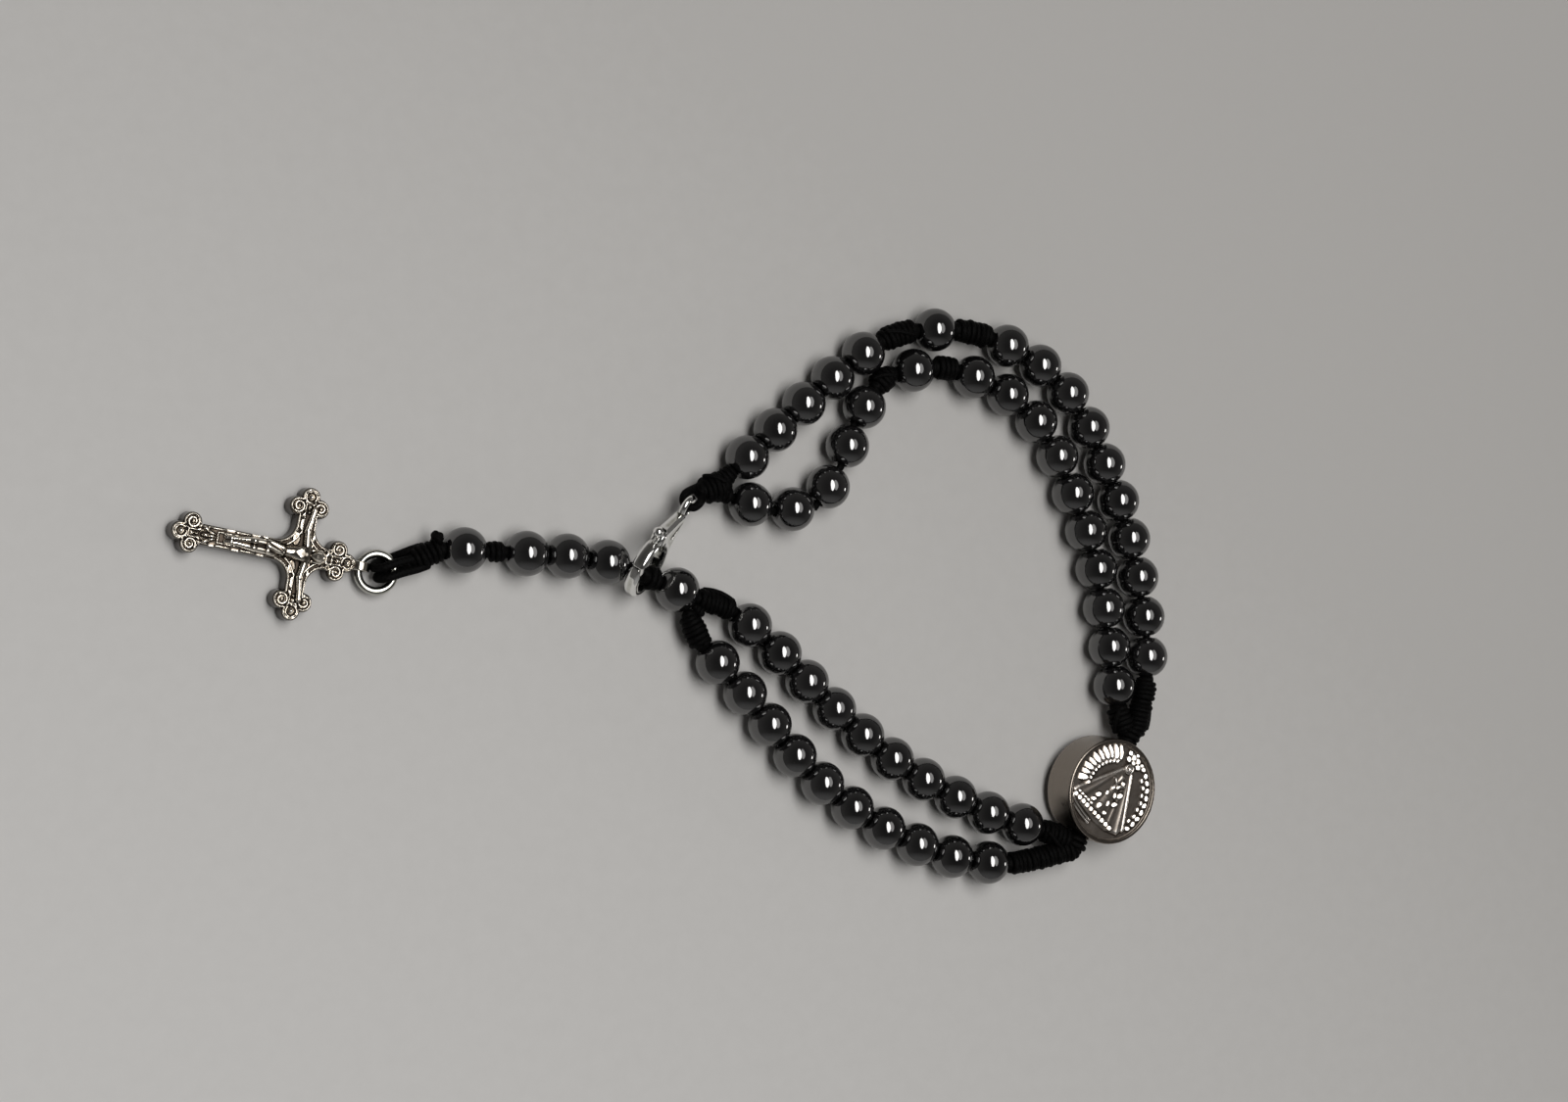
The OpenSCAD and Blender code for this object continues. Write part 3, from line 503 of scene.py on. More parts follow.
def mixed(t, fac, a, b, kind="MIX"):
    n = t.nodes.new("ShaderNodeMix")
    n.data_type = "RGBA"
    n.blend_type = kind
    if isinstance(fac, (int, float)):
        n.inputs[0].default_value = fac
    else:
        t.links.new(fac, n.inputs[0])
    for k, x in ((6, a), (7, b)):
        if hasattr(x, "links"):
            t.links.new(x, n.inputs[k])
        else:
            n.inputs[k].default_value = (*x, 1)
    return n.outputs[2]


def noise(t, scale, detail, rough=0.55):
    n = t.nodes.new("ShaderNodeTexNoise")
    n.inputs["Scale"].default_value = scale
    n.inputs["Detail"].default_value = detail
    n.inputs["Roughness"].default_value = rough
    t.links.new(t.nodes.new("ShaderNodeTexCoord").outputs["Object"], n.inputs["Vector"])
    return n.outputs["Fac"]


def bumped(t, bsdf, height, strength, distance):
    n = t.nodes.new("ShaderNodeBump")
    n.inputs["Strength"].default_value = strength
    n.inputs["Distance"].default_value = distance
    t.links.new(height, n.inputs["Height"])
    t.links.new(n.outputs["Normal"], bsdf.inputs["Normal"])


def attribute(t, name):
    n = t.nodes.new("ShaderNodeAttribute")
    n.attribute_name = name
    return n.outputs["Fac"]


def hematite():
    m, t, b = nodes_of("hematite")
    shade = plus(t, times(t, noise(t, 420, 3), 0.6), times(t, attribute(t, "tone"), 0.4))
    t.links.new(ramp(t, shade, [(0.2, (0.003, 0.003, 0.0033)), (0.9, (0.010, 0.0095, 0.010))]),
                b.inputs["Base Color"])
    t.links.new(ramp(t, noise(t, 2600, 5, 0.6), [(0.3, 0.045), (0.62, 0.085), (0.8, 0.16)]),
                b.inputs["Roughness"])
    b.inputs["IOR"].default_value = 2.25
    bumped(t, b, noise(t, 700, 2), 0.06, 0.0001)
    return m


def nylon():
    """Braided cord: two sets of strands that cross, and fuzz."""
    m, t, b = nodes_of("black_cord")
    axes = t.nodes.new("ShaderNodeSeparateXYZ")
    t.links.new(t.nodes.new("ShaderNodeUVMap").outputs["UV"], axes.inputs[0])
    lean, rounds = times(t, axes.outputs[0], 2.1), times(t, axes.outputs[1], 5.0)
    one, two = (math_node(t, "SINE", times(t, math_node(t, op, rounds, lean), 2 * math.pi))
                for op in ("ADD", "SUBTRACT"))
    braid = math_node(t, "MAXIMUM", one, two)
    fuzz = noise(t, 5200, 4, 0.7)
    t.links.new(ramp(t, plus(t, times(t, braid, 0.2), fuzz),
                     [(0.25, (0.0012, 0.0012, 0.0012)), (0.85, (0.0042, 0.004, 0.004))]),
                b.inputs["Base Color"])
    b.inputs["Roughness"].default_value = 0.55
    b.inputs["Specular IOR Level"].default_value = 0.045
    bumped(t, b, plus(t, times(t, braid, 0.35), fuzz), 0.7, 0.00006)
    return m


def silver(name, bright, warm, dark, rough, patina, side):
    """Cast metal, dark in its hollows and polished where it stands out; side is the darker tone painted on
    its walls and low faces, partly patina and partly painted shade.
    """
    m, t, b = nodes_of(name)
    b.inputs["Metallic"].default_value = 1.0
    hollow = plus(t, times(t, attribute(t, "fine"), 2.4), times(t, attribute(t, "broad"), 1.4))
    grime = times(t, plus(t, noise(t, 900, 5, 0.6), -0.5), 0.35)
    wear = plus(t, plus(t, hollow, grime), 0.5)
    colour = ramp(t, wear, [(0.36 - 0.1 * patina, bright), (0.55 - 0.08 * patina, warm),
                            (0.82 - 0.1 * patina, dark)])
    # walls and low faces take the side tone: painted shade, partly patina
    t.links.new(mixed(t, attribute(t, "wall_shade_and_patina"), colour, side), b.inputs["Base Color"])
    t.links.new(ramp(t, wear, [(0.3, rough), (0.55, rough + 0.08), (0.85, rough + 0.3)]),
                b.inputs["Roughness"])
    bumped(t, b, noise(t, 1500, 4), 0.12, 0.00008)
    return m


HEMATITE, NYLON = hematite(), nylon()
# last colour of each: the side tone of walls and low faces, darkened as painted shade; the clasp's face
# height of -2 mm leaves its side tone unused
ANTIQUE = silver("antique_silver", (0.92, 0.86, 0.76), (0.27, 0.228, 0.18), (0.036, 0.028, 0.022),
                 0.1, 1.6, (0.042, 0.034, 0.027))
MEDAL_SILVER = silver("medal_silver", (0.97, 0.93, 0.88), (0.43, 0.38, 0.335), (0.06, 0.049, 0.041),
                      0.24, 1.0, (0.28, 0.245, 0.212))
BRIGHT = silver("bright_silver", (0.93, 0.93, 0.91), (0.58, 0.58, 0.53), (0.09, 0.088, 0.075), 0.1, 0.8,
                (0.5, 0.5, 0.5))


# Beads
def bead_profile():
    half, hole = BEAD_L / 2, HOLE_D / 2
    a0 = math.asin(FLAT_D / BEAD_D)
    arc = [(BEAD_D / 2 * math.sin(a), -BEAD_D / 2 * math.cos(a))
           for a in np.linspace(a0 + 0.03, math.pi - a0 - 0.03, 28)]
    return ([(hole + 0.08, -half), (FLAT_D / 2 - 0.04, -half)] + arc
            + [(FLAT_D / 2 - 0.04, half), (hole + 0.08, half), (hole, half - 0.08),
               (hole, -half + 0.08)])


def bead_string(node_name, joints, first, count):
    pile = Pile()
    for i in range(first, first + count):
        lathe(pile, bead_profile(), mean(joints[i], joints[i + 1]), joints[i + 1] - joints[i], 56,
              float(rng.random()))
    fitted(pile.made(node_name + "_beads", HEMATITE, sharp=35), node_name)


for spec in (("stem_single", stem, 0, 1), ("stem_three", stem, 2, 3), ("join_bead", stem, 6, 1),
             ("lower_inner_ten", lower_inner, 1, 10), ("lower_outer_ten", lower_outer, 1, 10),
             ("upper_inner_five", upper_inner, 0, 5), ("upper_inner_single", upper_inner, 6, 1),
             ("upper_inner_ten", upper_inner, 8, 10), ("upper_outer_five", upper_outer, 0, 5),
             ("upper_outer_single", upper_outer, 6, 1), ("upper_outer_ten", upper_outer, 8, 10)):
    bead_string(*spec)


# Knots: cord wound round and round the strand
def wound(pile, a, b, d, wrap=0.62, in_dir=None, out_dir=None, taper=0.8, lump=0.07, over=True,
          ease=0.06):
    """Cord of thickness wrap, wound into a knot d thick from a to b that bends with its strand."""
    length, ahead = np.linalg.norm(b - a), unit(b - a)
    u0, u1 = (ahead if way is None else unit(unit(way) + ahead) for way in (in_dir, out_dir))
    first = (ease + wrap / 2) / length
    turns = max(2, int(round(length * (1 - 2 * first) / (wrap * 0.9))))
    w = np.linspace(0, 1, turns * 26 + 1)
    h = lambda t: (a * ((1 + 2 * t) * (1 - t) ** 2)[:, None] + b * (t * t * (3 - 2 * t))[:, None]
                   + length * u0 * (t * (1 - t) ** 2)[:, None]
                   - length * u1 * (t * t * (1 - t))[:, None])
    mid = h(first + w * (1 - 2 * first))
    t, n, c = frames(mid)
    ang = w * turns * 2 * math.pi + rng.uniform(0, 6.3)
    uneven = lambda size: np.interp(w * turns, np.arange(turns + 2), rng.uniform(-size, size, turns + 2))
    bumps = uneven(lump)
    wave = 0.5 * lump * np.sin(ang * 0.5 + rng.uniform(0, 6.3)) + 0.4 * lump * np.sin(ang * 2.3)
    end = np.minimum(1, np.minimum(w, 1 - w) * turns / 0.8)
    r = (d / 2 - wrap / 2) * (taper + (1 - taper) * end) + bumps + wave
    path = mid + r[:, None] * circled(ang, n, c) + uneven(0.06)[:, None] * t
    tube(pile, path, wrap / 2 * (1.06 + 0.08 * np.sin(ang * 1.7 + 1.0)), 9)
    tube(pile, h(np.linspace(first * 0.7, 1 - first * 0.7, 8)), max(d / 2 - wrap * 0.75, 0.45), 12)
    if over and turns > 3:
        q = np.linspace(0.18, 0.82, 22)
        mid = h(q)
        t, n, c = frames(mid)
        lie = rng.uniform(0, 6.3) + 1.5 * (q - 0.5)
        high = d / 2 - 0.02 + 0.12 * np.sin(math.pi * (q - 0.18) / 0.64)
        tube(pile, mid + high[:, None] * circled(lie, n, c), wrap * 0.42, 8)


def knot(name, parts):
    pile = Pile()
    for part in parts:
        wound(pile, **part)
    fitted(pile.made(name + "_wraps", NYLON), name)


def between(p, i, d, **more):
    """Knot from joint i of a strand to its next one."""
    out = {"a": p[i], "b": p[i + 1], "d": d, **more}
    if i > 0:
        out["in_dir"] = p[i] - p[i - 1]
    if i + 2 < len(p):
        out["out_dir"] = p[i + 2] - p[i + 1]
    return out


def bump(at, before, after, d):
    """Small extra coil on a knot."""
    return {"a": at + before, "b": at + after, "d": d, "wrap": 0.55, "over": False}


LANE, PORT_OUT, CLEAR_OUT = 0.62, MEDAL_D / 2 + 0.8, MEDAL_D / 2 + KNOT_GAP - 0.12


def medal_knots(name, inner, outer, side):
    """Knots of both strands before a port of the medal, and the piece that enters it."""
    lane_at = lambda lane, out: on_lane(lane, side * out) - CENTRE
    knot(name, [
        {"a": inner[-1], "b": lane_at(-LANE, PORT_OUT + 0.25), "d": KNOT_D, "in_dir": inner[-1] - inner[-2]},
        {"a": outer[-1], "b": lane_at(LANE, PORT_OUT + 0.6), "d": KNOT_D - 0.1,
         "in_dir": outer[-1] - outer[-2]},
        {"a": lane_at(0, PORT_OUT + 1.3), "b": lane_at(0, CLEAR_OUT), "d": 3.0, "over": False, "taper": 0.9}])


medal_knots("lower_end_knots", lower_inner, lower_outer, -1)
medal_knots("upper_end_knots", upper_inner, upper_outer, 1)
for who, strand in (("inner", upper_inner), ("outer", upper_outer)):
    knot(f"upper_{who}_knot_a", [between(strand, 5, KNOT_D)])
    knot(f"upper_{who}_knot_b", [between(strand, 7, KNOT_D)])
knot("stem_knot", [between(stem, 1, KNOT_D - 0.4, over=False)])
fork = mean(into(lower_inner[0], lower_inner[1], 1.1), into(lower_outer[0], lower_outer[1], 0.8))
knot("join_knots", [between(lower_inner, 0, KNOT_D - 0.3), between(lower_outer, 0, KNOT_D - 0.1),
                    bump(fork, vec(-0.5, 0.5, 0.2), vec(0.6, -0.5, 0), 1.5)])
knot("stem_end_knot", [
    {"a": end_knot_b, "b": stem[0], "d": KNOT_D - 0.1, "out_dir": stem[1] - stem[0]},
    bump(stem[0] + vec(-1, 1.25, 0.5), vec(-0.45, -0.35, 0), vec(0.5, 0.3, 0.1), 1.7)])


def grip_strands():
    """Three strands twisted together inside the claw, wound at their far end."""
    path = np.array(smooth([stem[5], mean(stem[5], stem[6]) + vec(0, 0, 0.5), stem[6]], 10))
    _, n, b = frames(path)
    w = np.linspace(0, 1, len(path))
    off = 0.42 - 0.1 * np.clip((0.4 - w) / 0.3, 0, 1)
    pile = Pile()
    for k in range(3):
        line = path + off[:, None] * circled(2 * math.pi * (k / 3 + 0.8 * w), n, b)
        tube(pile, line[1:-1], 0.5, 10)
    wound(pile, path[9], stem[6], 2.8, wrap=0.66, taper=0.7, over=False, ease=0.1)
    fitted(pile.made("grip_knot_strands", NYLON), "grip_knot")


grip_strands()

# Knot at the clasp and the two open loops
clasp_place = vec(-13.55, 4.85, 0) - CENTRE
knot_a = mean(upper_inner[0], upper_outer[0]) + vec(-0.95, -0.1, 0.15)
knot_dir, knot_side = toward(193), toward(103)
knot_b = knot_a + 3.0 * knot_dir
knot("clasp_knot", [{"a": knot_a, "b": knot_b, "d": 3.3, "lump": 0.1}] + [
    {"a": knot_a + 0.8 * knot_dir + s * 0.5 * knot_side, "b": strand[0], "d": 2.2, "over": False}
    for s, strand in ((-1, upper_inner), (1, upper_outer))])

lean = math.radians(CLASP_LEAN)
clasp_along = toward(CLASP_TURN)
clasp_through = math.cos(lean) * toward(CLASP_TURN - 90) - vec(0, 0, math.sin(lean))
CLAW_R, CLAW_W, CLAW_T, EYE_R, EYE_WIRE = 3.75, 1.1, 1.6, 1.5, 0.75
EYE_MID = EYE_R - EYE_WIRE / 2
clasp_z = CLAW_R * math.cos(lean) + CLAW_T / 2 * math.sin(lean)
clasp_at = vec(clasp_place[0], clasp_place[1], clasp_z)
wire = clasp_at - EYE_MID * clasp_along
hold = (EYE_WIRE + LOOP_D) / 2 + 0.12
leg_side = 0.6 * unit(clasp_through - (clasp_through @ knot_dir) * knot_dir)
legs = [knot_b + a * knot_dir for a in (-1.2, -0.5, 0.1)]
clasp_loop_path = ([q + leg_side for q in legs]
                   + [wire + a * clasp_through + b * clasp_along
                      for a, b in ((hold, -0.2), (0.75 * hold, 0.7 * hold), (0, hold),
                                   (-0.75 * hold, 0.7 * hold), (-hold, -0.2))]
                   + [q - leg_side for q in reversed(legs)])

ring_wire_at = ring_place + RING_R * ring_along
ring_wire_at = vec(ring_wire_at[0], ring_wire_at[1], ring_high) - CENTRE
hold = (RING_WIRE + LOOP_D) / 2 + 0.13
leg_side = 0.42 * ring_across - vec(0, 0, 0.42)
legs = [end_knot_b - a * end_knot_dir for a in (1.3, 0.1)]
ring_loop_path = ([q - leg_side for q in legs]
                  + [ring_wire_at + a * vec(0, 0, hold) + b * ring_along + c * ring_across
                     for a, b, c in ((1, 0.2, -0.25), (0.8, -1.3 * hold, -0.25), (0, -2.05 * hold, 0),
                                     (-0.8, -1.3 * hold, 0.25), (-1, 0.2, 0.25))]
                  + [q + leg_side for q in reversed(legs)])
for name, path, asides in (("clasp_loop", clasp_loop_path, (0,)), ("ring_loop", ring_loop_path, (-0.6, 0.6))):
    pile = Pile()
    for aside in asides:
        tube(pile, smooth([q + aside * ring_across for q in path], 9), LOOP_D / 2, 16)
    fitted(pile.made(name + "_cord", NYLON), name)
for name in ("stem_cord", "inner_cord", "outer_cord"):
    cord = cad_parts[name].data
    cord.materials.clear()
    cord.materials.append(NYLON)


# Crucifix
TIPS = ((-FOOT_L, 0), (HEAD_L, 0), (0, ARM_L), (0, -ARM_L))
LOBES = ((LOBE_R, 0), (2.2, 1.15), (2.2, -1.15))
PLATE_T, ARM_HALF, FIELD_DROP = 2.0, 1.2, 0.16
EYELET_R, EYELET_HOLE_R, EYELET_T = 1.2, 0.75, 1.0


def from_tip(tip, inward, aside):
    """Point counted inward from the tip of an arm, and aside from the arm's middle line."""
    away = vec(*tip) / math.hypot(*tip)
    return vec(*tip) - inward * away + aside * vec(-away[1], away[0])


def cross_outline(x, y):
    d = box2(x, y, (HEAD_L - FOOT_L) / 2, 0, (FOOT_L + HEAD_L) / 2 - LOBE_R, ARM_HALF)
    d = np.minimum(d, box2(x, y, 0, 0, ARM_HALF, ARM_L - LOBE_R))
    # round hollows between the arms
    d = np.minimum(d, np.maximum(box2(x, y, 0, 0, 3, 3), 1.8 - np.hypot(np.abs(x) - 3, np.abs(y) - 3)))
    for tip in TIPS:
        for inward, aside in LOBES:
            c = from_tip(tip, inward, aside)
            d = np.minimum(d, np.hypot(x - c[0], y - c[1]) - LOBE_R)
    return d


def scroll(c, start, turns, r0, r1, n=26):
    q = np.linspace(0, 1, n)
    a = np.radians(start) + q * turns * 2 * math.pi
    r = r0 + (r1 - r0) * q
    return [(c[0] + r[i] * math.cos(a[i]), c[1] + r[i] * math.sin(a[i])) for i in range(n)]


def dome(x, y, c, rx, ry, h, turn=0.0):
    ct, st = math.cos(math.radians(turn)), math.sin(math.radians(turn))
    u, v = (x - c[0]) * ct + (y - c[1]) * st, -(x - c[0]) * st + (y - c[1]) * ct
    return h * np.sqrt(np.clip(1 - (u / rx) ** 2 - (v / ry) ** 2, 0, 1))


FACET_SLOPE, FACET_CURVE = 0.36, 0.1


def facet(x, y, c, rx, ry, top, turn, face):
    """Petal or stud whose flat top leans toward an angle, so that all of it can catch the light."""
    lean_to = (x - c[0]) * math.cos(face) + (y - c[1]) * math.sin(face)
    flat = top - FACET_SLOPE * lean_to - FACET_CURVE * lean_to ** 2
    return np.clip(np.minimum(dome(x, y, c, rx, ry, 2.2 * top, turn), flat), 0, 1)


# Leaves and studs, each drawn on both sides of an arm: place, half sizes, height and turn.
# Those of the trefoil ends count inward from the arm's tip.
TIP_LEAVES = ((2.2, 1.2, 0.22, 0.22, 0.42, 0), (2.62, 0.42, 0.2, 0.13, 0.4, 60),
              (3.35, 0.36, 0.22, 0.12, 0.36, -20), (1.72, 0.5, 0.3, 0.13, 0.34, 40),
              (3.05, 0.52, 0.46, 0.15, 0.3, -28), (2.2, 0, 0.34, 0.24, 0.44, 0),
              (2.75, 0, 0.22, 0.16, 0.34, 0))
ARM_LEAVES = ((-10.4, 0.62, 0.62, 0.2, 0.42, -24), (-10.4, 0, 0.62, 0.2, 0.42, 0),
              (-9.75, 0.32, 0.42, 0.14, 0.34, -14), (-9.75, 0, 0.42, 0.14, 0.34, 0),
              (-11.15, 0.85, 0.3, 0.2, 0.44, 40), (-10.95, 0.4, 0.3, 0.13, 0.44, 30),
              (2.45, 0.8, 0.22, 0.15, 0.36, 50), (3.62, 0.5, 0.22, 0.14, 0.36, -40))
# Flat raised panels where the arms leave the middle: place and half sizes
PANELS = ((-0.82, 1.5, 0.4, 0.75), (1.02, 1.5, 0.17, 0.8), (-0.55, 3.1, 0.14, 0.7))


def tip_relief(x, y, tip):
    """Scrolls, buds and leaves of one trefoil end."""
    h = np.zeros(x.shape)
    put = lambda new: np.maximum(h, new, out=h)
    face = math.degrees(math.atan2(tip[1], tip[0]))
    lobe = from_tip(tip, LOBE_R, 0)
    put(ridge(stroke(x, y, scroll(lobe, face + 190, -0.9, 0.64, 0.56)), 0.15, 0.34))
    put(dome(x, y, lobe, 0.34, 0.34, 0.46))
    for turn in (face - 50, face, face + 50):
        put(dome(x, y, lobe + 0.66 * toward(turn)[:2], 0.17, 0.13, 0.42, turn))
    for s in (-1, 1):
        curl = scroll(from_tip(tip, 2.2, s * 1.2), face + 180 - s * 35, s * 1.15, 0.66, 0.3)
        put(ridge(stroke(x, y, curl), 0.16, 0.38))
        for inward, aside, rx, ry, top, turn in TIP_LEAVES:
            put(dome(x, y, from_tip(tip, inward, s * aside), rx, ry, top, face + s * turn))
    return h


def cross_relief(x, y):
    """Height of the ornament over the plate, and the distance in from its edge."""
    x, y = np.broadcast_arrays(x, y)
    d = -cross_outline(x, y)
    h = (-FIELD_DROP * np.clip((d - 0.05) / 0.2, 0, 1)).astype(float)
    put = lambda new: np.maximum(h, new, out=h)
    # the rim, worn low along the long arm and uneven everywhere, and a line inside it
    arm = np.clip((x + 10.6) / 0.8, 0, 1) * np.clip((-2.7 - x) / 0.8, 0, 1)
    broken = 0.5 - 0.5 * np.tanh(3 * np.sin(2.3 * x + 4 * np.sign(y)) + 1.2)
    worn = 0.92 + 0.08 * np.sin(2.1 * x + 1.7 * y) - 0.75 * arm * broken
    put(-0.12 + ridge(d - 0.31, 0.1, 0.37) * worn)
    put(-FIELD_DROP + ridge(d - 0.8, 0.13, 0.4) * (1 - 0.7 * arm))
    # outlined board behind the legs, and a small plain tablet over the head
    put(ridge(np.abs(box2(x, y, -6.75, 0, 2.4, 0.56)), 0.09, 0.3) - 0.04)
    put(ridge(np.abs(box2(x, y, 3.05, 0, 0.3, 0.5)), 0.1, 0.34) - 0.04)
    for tip in TIPS:
        middle = from_tip(tip, 2, 0)
        near = np.hypot(x - middle[0], y - middle[1]) < 3.4
        put(np.where(near, tip_relief(x, y, tip) - 0.06, h))
    # studs along the board, panels, leaves, and the curled ends of the tablet
    for s in (-1, 1):
        for k in range(5):
            put(dome(x, y, (-5.0 - 0.86 * k, s * 0.53), 0.15, 0.11, 0.38) - 0.04)
        for cx, cy, rx, ry in PANELS:
            put(np.minimum(dome(x, y, (cx, s * cy), rx, ry, 0.6), 0.17))
        for cx, cy, rx, ry, top, turn in ARM_LEAVES:
            put(dome(x, y, (cx, s * cy), rx, ry, top, s * turn) - 0.03)
        curl = scroll((3.05, s * 0.86), 90 * s + 90, s * 1.1, 0.3, 0.12, 14)
        put(ridge(stroke(x, y, curl), 0.1, 0.36) - 0.03)
    return h, d


class Clay:
    """Distance field to which soft shapes are joined one after another."""

    def __init__(self, at, field):
        self.at, self.field = at, field

    def join(self, field, soft):
        self.field = smin(self.field, field, soft)

    def limb(self, a, b, ra, rb, soft):
        self.join(capsule(*self.at, a, b, ra, rb), soft)

    def lump(self, c, r, soft, squash=(1, 1, 1)):
        self.join(ball(*self.at, c, r, squash), soft)


def head_shape(x, y, z):
    """Bowed head with hair, beard and a plain face."""
    head = Clay((x, y, z), ball(x, y, z, (1.62, 0, 2.72), 0.56, (1.15, 0.92, 1.0)))
    head.lump((1.98, 0, 2.55), 0.6, 0.12, (1.0, 1.1, 0.9))
    head.lump((1.12, 0, 2.82), 0.26, 0.12, (1.2, 0.8, 0.9))
    head.limb((1.72, 0, 3.2), (1.5, 0, 3.3), 0.06, 0.09, 0.05)
    for s in (-1, 1):
        head.field = smax(head.field, -ball(x, y, z, (1.72, s * 0.2, 3.27), 0.1), 0.06)
        head.limb((2.0, s * 0.5, 2.6), (0.95, s * 0.55, 2.5), 0.24, 0.16, 0.1)
    return head.field


def figure_shape(x, y, z):
    body = Clay((x, y, z), capsule(x, y, z, (0.35, 0, 2.25), (-2.1, 0, 2.35), 0.82, 0.58))
    body.lump((-0.35, 0, 2.6), 0.62, 0.3, (1.1, 1.15, 0.75))
    # on both sides: chest, arm in two parts, hand, thigh, knee, shin and foot
    for s in (-1, 1):
        body.lump((-0.1, s * 0.36, 2.86), 0.36, 0.15, (1.1, 1.0, 0.6))
        body.limb((0.45, s * 0.5, 2.45), (0.15, s * 2.5, 2.45), 0.4, 0.3, 0.25)
        body.limb((0.15, s * 2.5, 2.45), (0.5, s * 4.5, 2.35), 0.3, 0.24, 0.12)
        body.lump((0.52, s * 4.75, 2.35), 0.3, 0.1, (0.9, 1.2, 0.8))
        body.limb((-3.2, s * 0.36, 2.45), (-5.3, s * 0.38, 2.62), 0.44, 0.36, 0.2)
        body.lump((-5.35, s * 0.38, 2.78), 0.3, 0.12)
        body.limb((-5.3, s * 0.38, 2.62), (-7.7, s * 0.2, 2.3), 0.36, 0.22, 0.12)
        body.limb((-7.7, s * 0.2, 2.35), (-8.35, s * 0.24, 2.25), 0.25, 0.2, 0.1)
    # cloth round the hips, with folds and a hanging end
    folds = 0.06 * np.sin(9.0 * (y + 0.35 * x)) * np.ones_like(z)
    cloth = capsule(x, y, z, (-2.35, 0, 2.4), (-3.75, 0, 2.4), 0.78, 0.84) - folds
    body.join(smax(cloth, np.abs(x + 3.05) - 0.95 - 0.12 * np.cos(3 * y), 0.12), 0.08)
    body.limb((-2.6, 0.72, 2.45), (-4.4, 0.98, 2.3), 0.26, 0.14, 0.08)
    body.join(head_shape(x, y, z), 0.1)
    return body.field


def crucifix_shape(x, y, z):
    h, d = (part[:, :, None] for part in cross_relief(x[:, :, 0], y[:, :, 0]))
    plate = rounded(0.1 * np.clip(z / PLATE_T, 0, 1) - d, -z, 0.3)
    f = smax(plate, (z - PLATE_T - h) * 0.8, 0.05)
    f = smin(f, figure_shape(x, y, z), 0.1)
    # eyelet with its drilled hole
    from_eye = np.hypot(x - EYELET_X, z - EYELET_Z)
    f = smin(f, rounded(from_eye - EYELET_R, np.abs(y) - EYELET_T / 2, 0.14), 0.12)
    return smax(f, EYELET_HOLE_R - from_eye + 0 * y, 0.05)


crucifix_at = vec(crucifix_place[0], crucifix_place[1], 0) - CENTRE
# under 2.1 mm the plate's walls, shoulders and sunk field take the dark side tone: painted shade, partly
# patina
ob = solid("crucifix_casting", crucifix_shape, (-14.45, -7.45, -0.12), (8.1, 7.45, 3.6), 0.066,
           ANTIQUE, (turned(crucifix_turn), crucifix_at), lambda p: 2.1)
fitted(ob, "crucifix")


# Medal
FIGURE_LEAN = math.radians(10.5)
LIGHT_SIDE = math.radians(195)
CATCH = LIGHT_SIDE + FIGURE_LEAN
FIELD_R, FIELD_DEPTH, EDGE_ROUND, BORE_R = 5.6, 0.24, 0.2, 1.3
# Flowers of the gown: place, size and turn. Bumps of the crown: place and size.
FLOWERS = ((0.45, 1.4, 0.34, 70), (0.1, 0.75, 0.26, 20), (1.15, 0.25, 0.32, 60), (0.5, -0.2, 0.24, 110),
           (1.2, -1.0, 0.3, 50), (0.35, -1.5, 0.26, 90), (-1.4, -1.5, 0.3, 60), (-0.6, -0.6, 0.24, 100),
           (-1.6, -2.3, 0.26, 40), (-0.5, -2.4, 0.3, 80), (0.7, -2.6, 0.24, 20), (-0.3, 0.4, 0.2, 60))
CROWN = ((-0.82, 4.28, 0.34), (-0.42, 4.82, 0.4), (0.34, 4.84, 0.4), (0.86, 4.34, 0.34),
         (0.0, 4.3, 0.28), (-1.1, 4.95, 0.32), (-0.1, 5.36, 0.24), (1.15, 4.85, 0.24))


def mantle_relief(u, v, lift):
    """Mantle, smooth at both sides, with a raised edge and a few long folds."""
    mantle = poly2(u, v, [(-0.7, 3.3), (0.7, 3.3), (4.3, -2.4), (4.0, -3.4), (2.2, -4.1), (-0.4, -4.3),
                          (-3.2, -4.1), (-4.6, -3.2), (-4.3, -2.4)])
    mantle = np.maximum(mantle, np.hypot(u, v) - 5.5)
    swing = np.degrees(np.arctan2(u, 4.2 - v))
    sag = np.clip((3.4 - v) / 5, 0, 1)
    swell = 0.04 * np.cos(np.radians(swing * 9 + 60)) + 0.07 * np.exp(-((swing - 27) / 2.2) ** 2)
    swell = swell + 0.06 * np.exp(-((swing + 24) / 2.4) ** 2) + 0.05 * np.exp(-((swing - 16) / 1.8) ** 2)
    rise = np.sqrt(np.clip(-mantle / 0.3, 0, 1))
    lift(rise * (0.2 + swell * sag))
    lift(ridge(stroke(u, v, ((0.8, 3.1), (4.2, -2.5))), 0.2, 0.12), 0.18)


def gown_relief(u, v, lift):
    """Gown with small raised flowers and joined hands."""
    gown = poly2(u, v, [(-0.42, 2.5), (0.42, 2.5), (1.45, -3.2), (-1.3, -3.2)])
    lift(np.sqrt(np.clip(-gown / 0.35, 0, 1)) * (0.27 + 0.045 * np.cos(5.2 * u / (1.3 - 0.2 * v) + 0.3)))
    for cu, cv, size, turn in FLOWERS:
        lift(facet(u, v, (cu, cv), size * 1.4, size * 0.95, 0.14, turn, CATCH), 0.24)
    for s in (-1, 1):
        lift(dome(u, v, (s * 0.5, 1.15), 0.55, 0.18, 0.24, s * 35), 0.26)


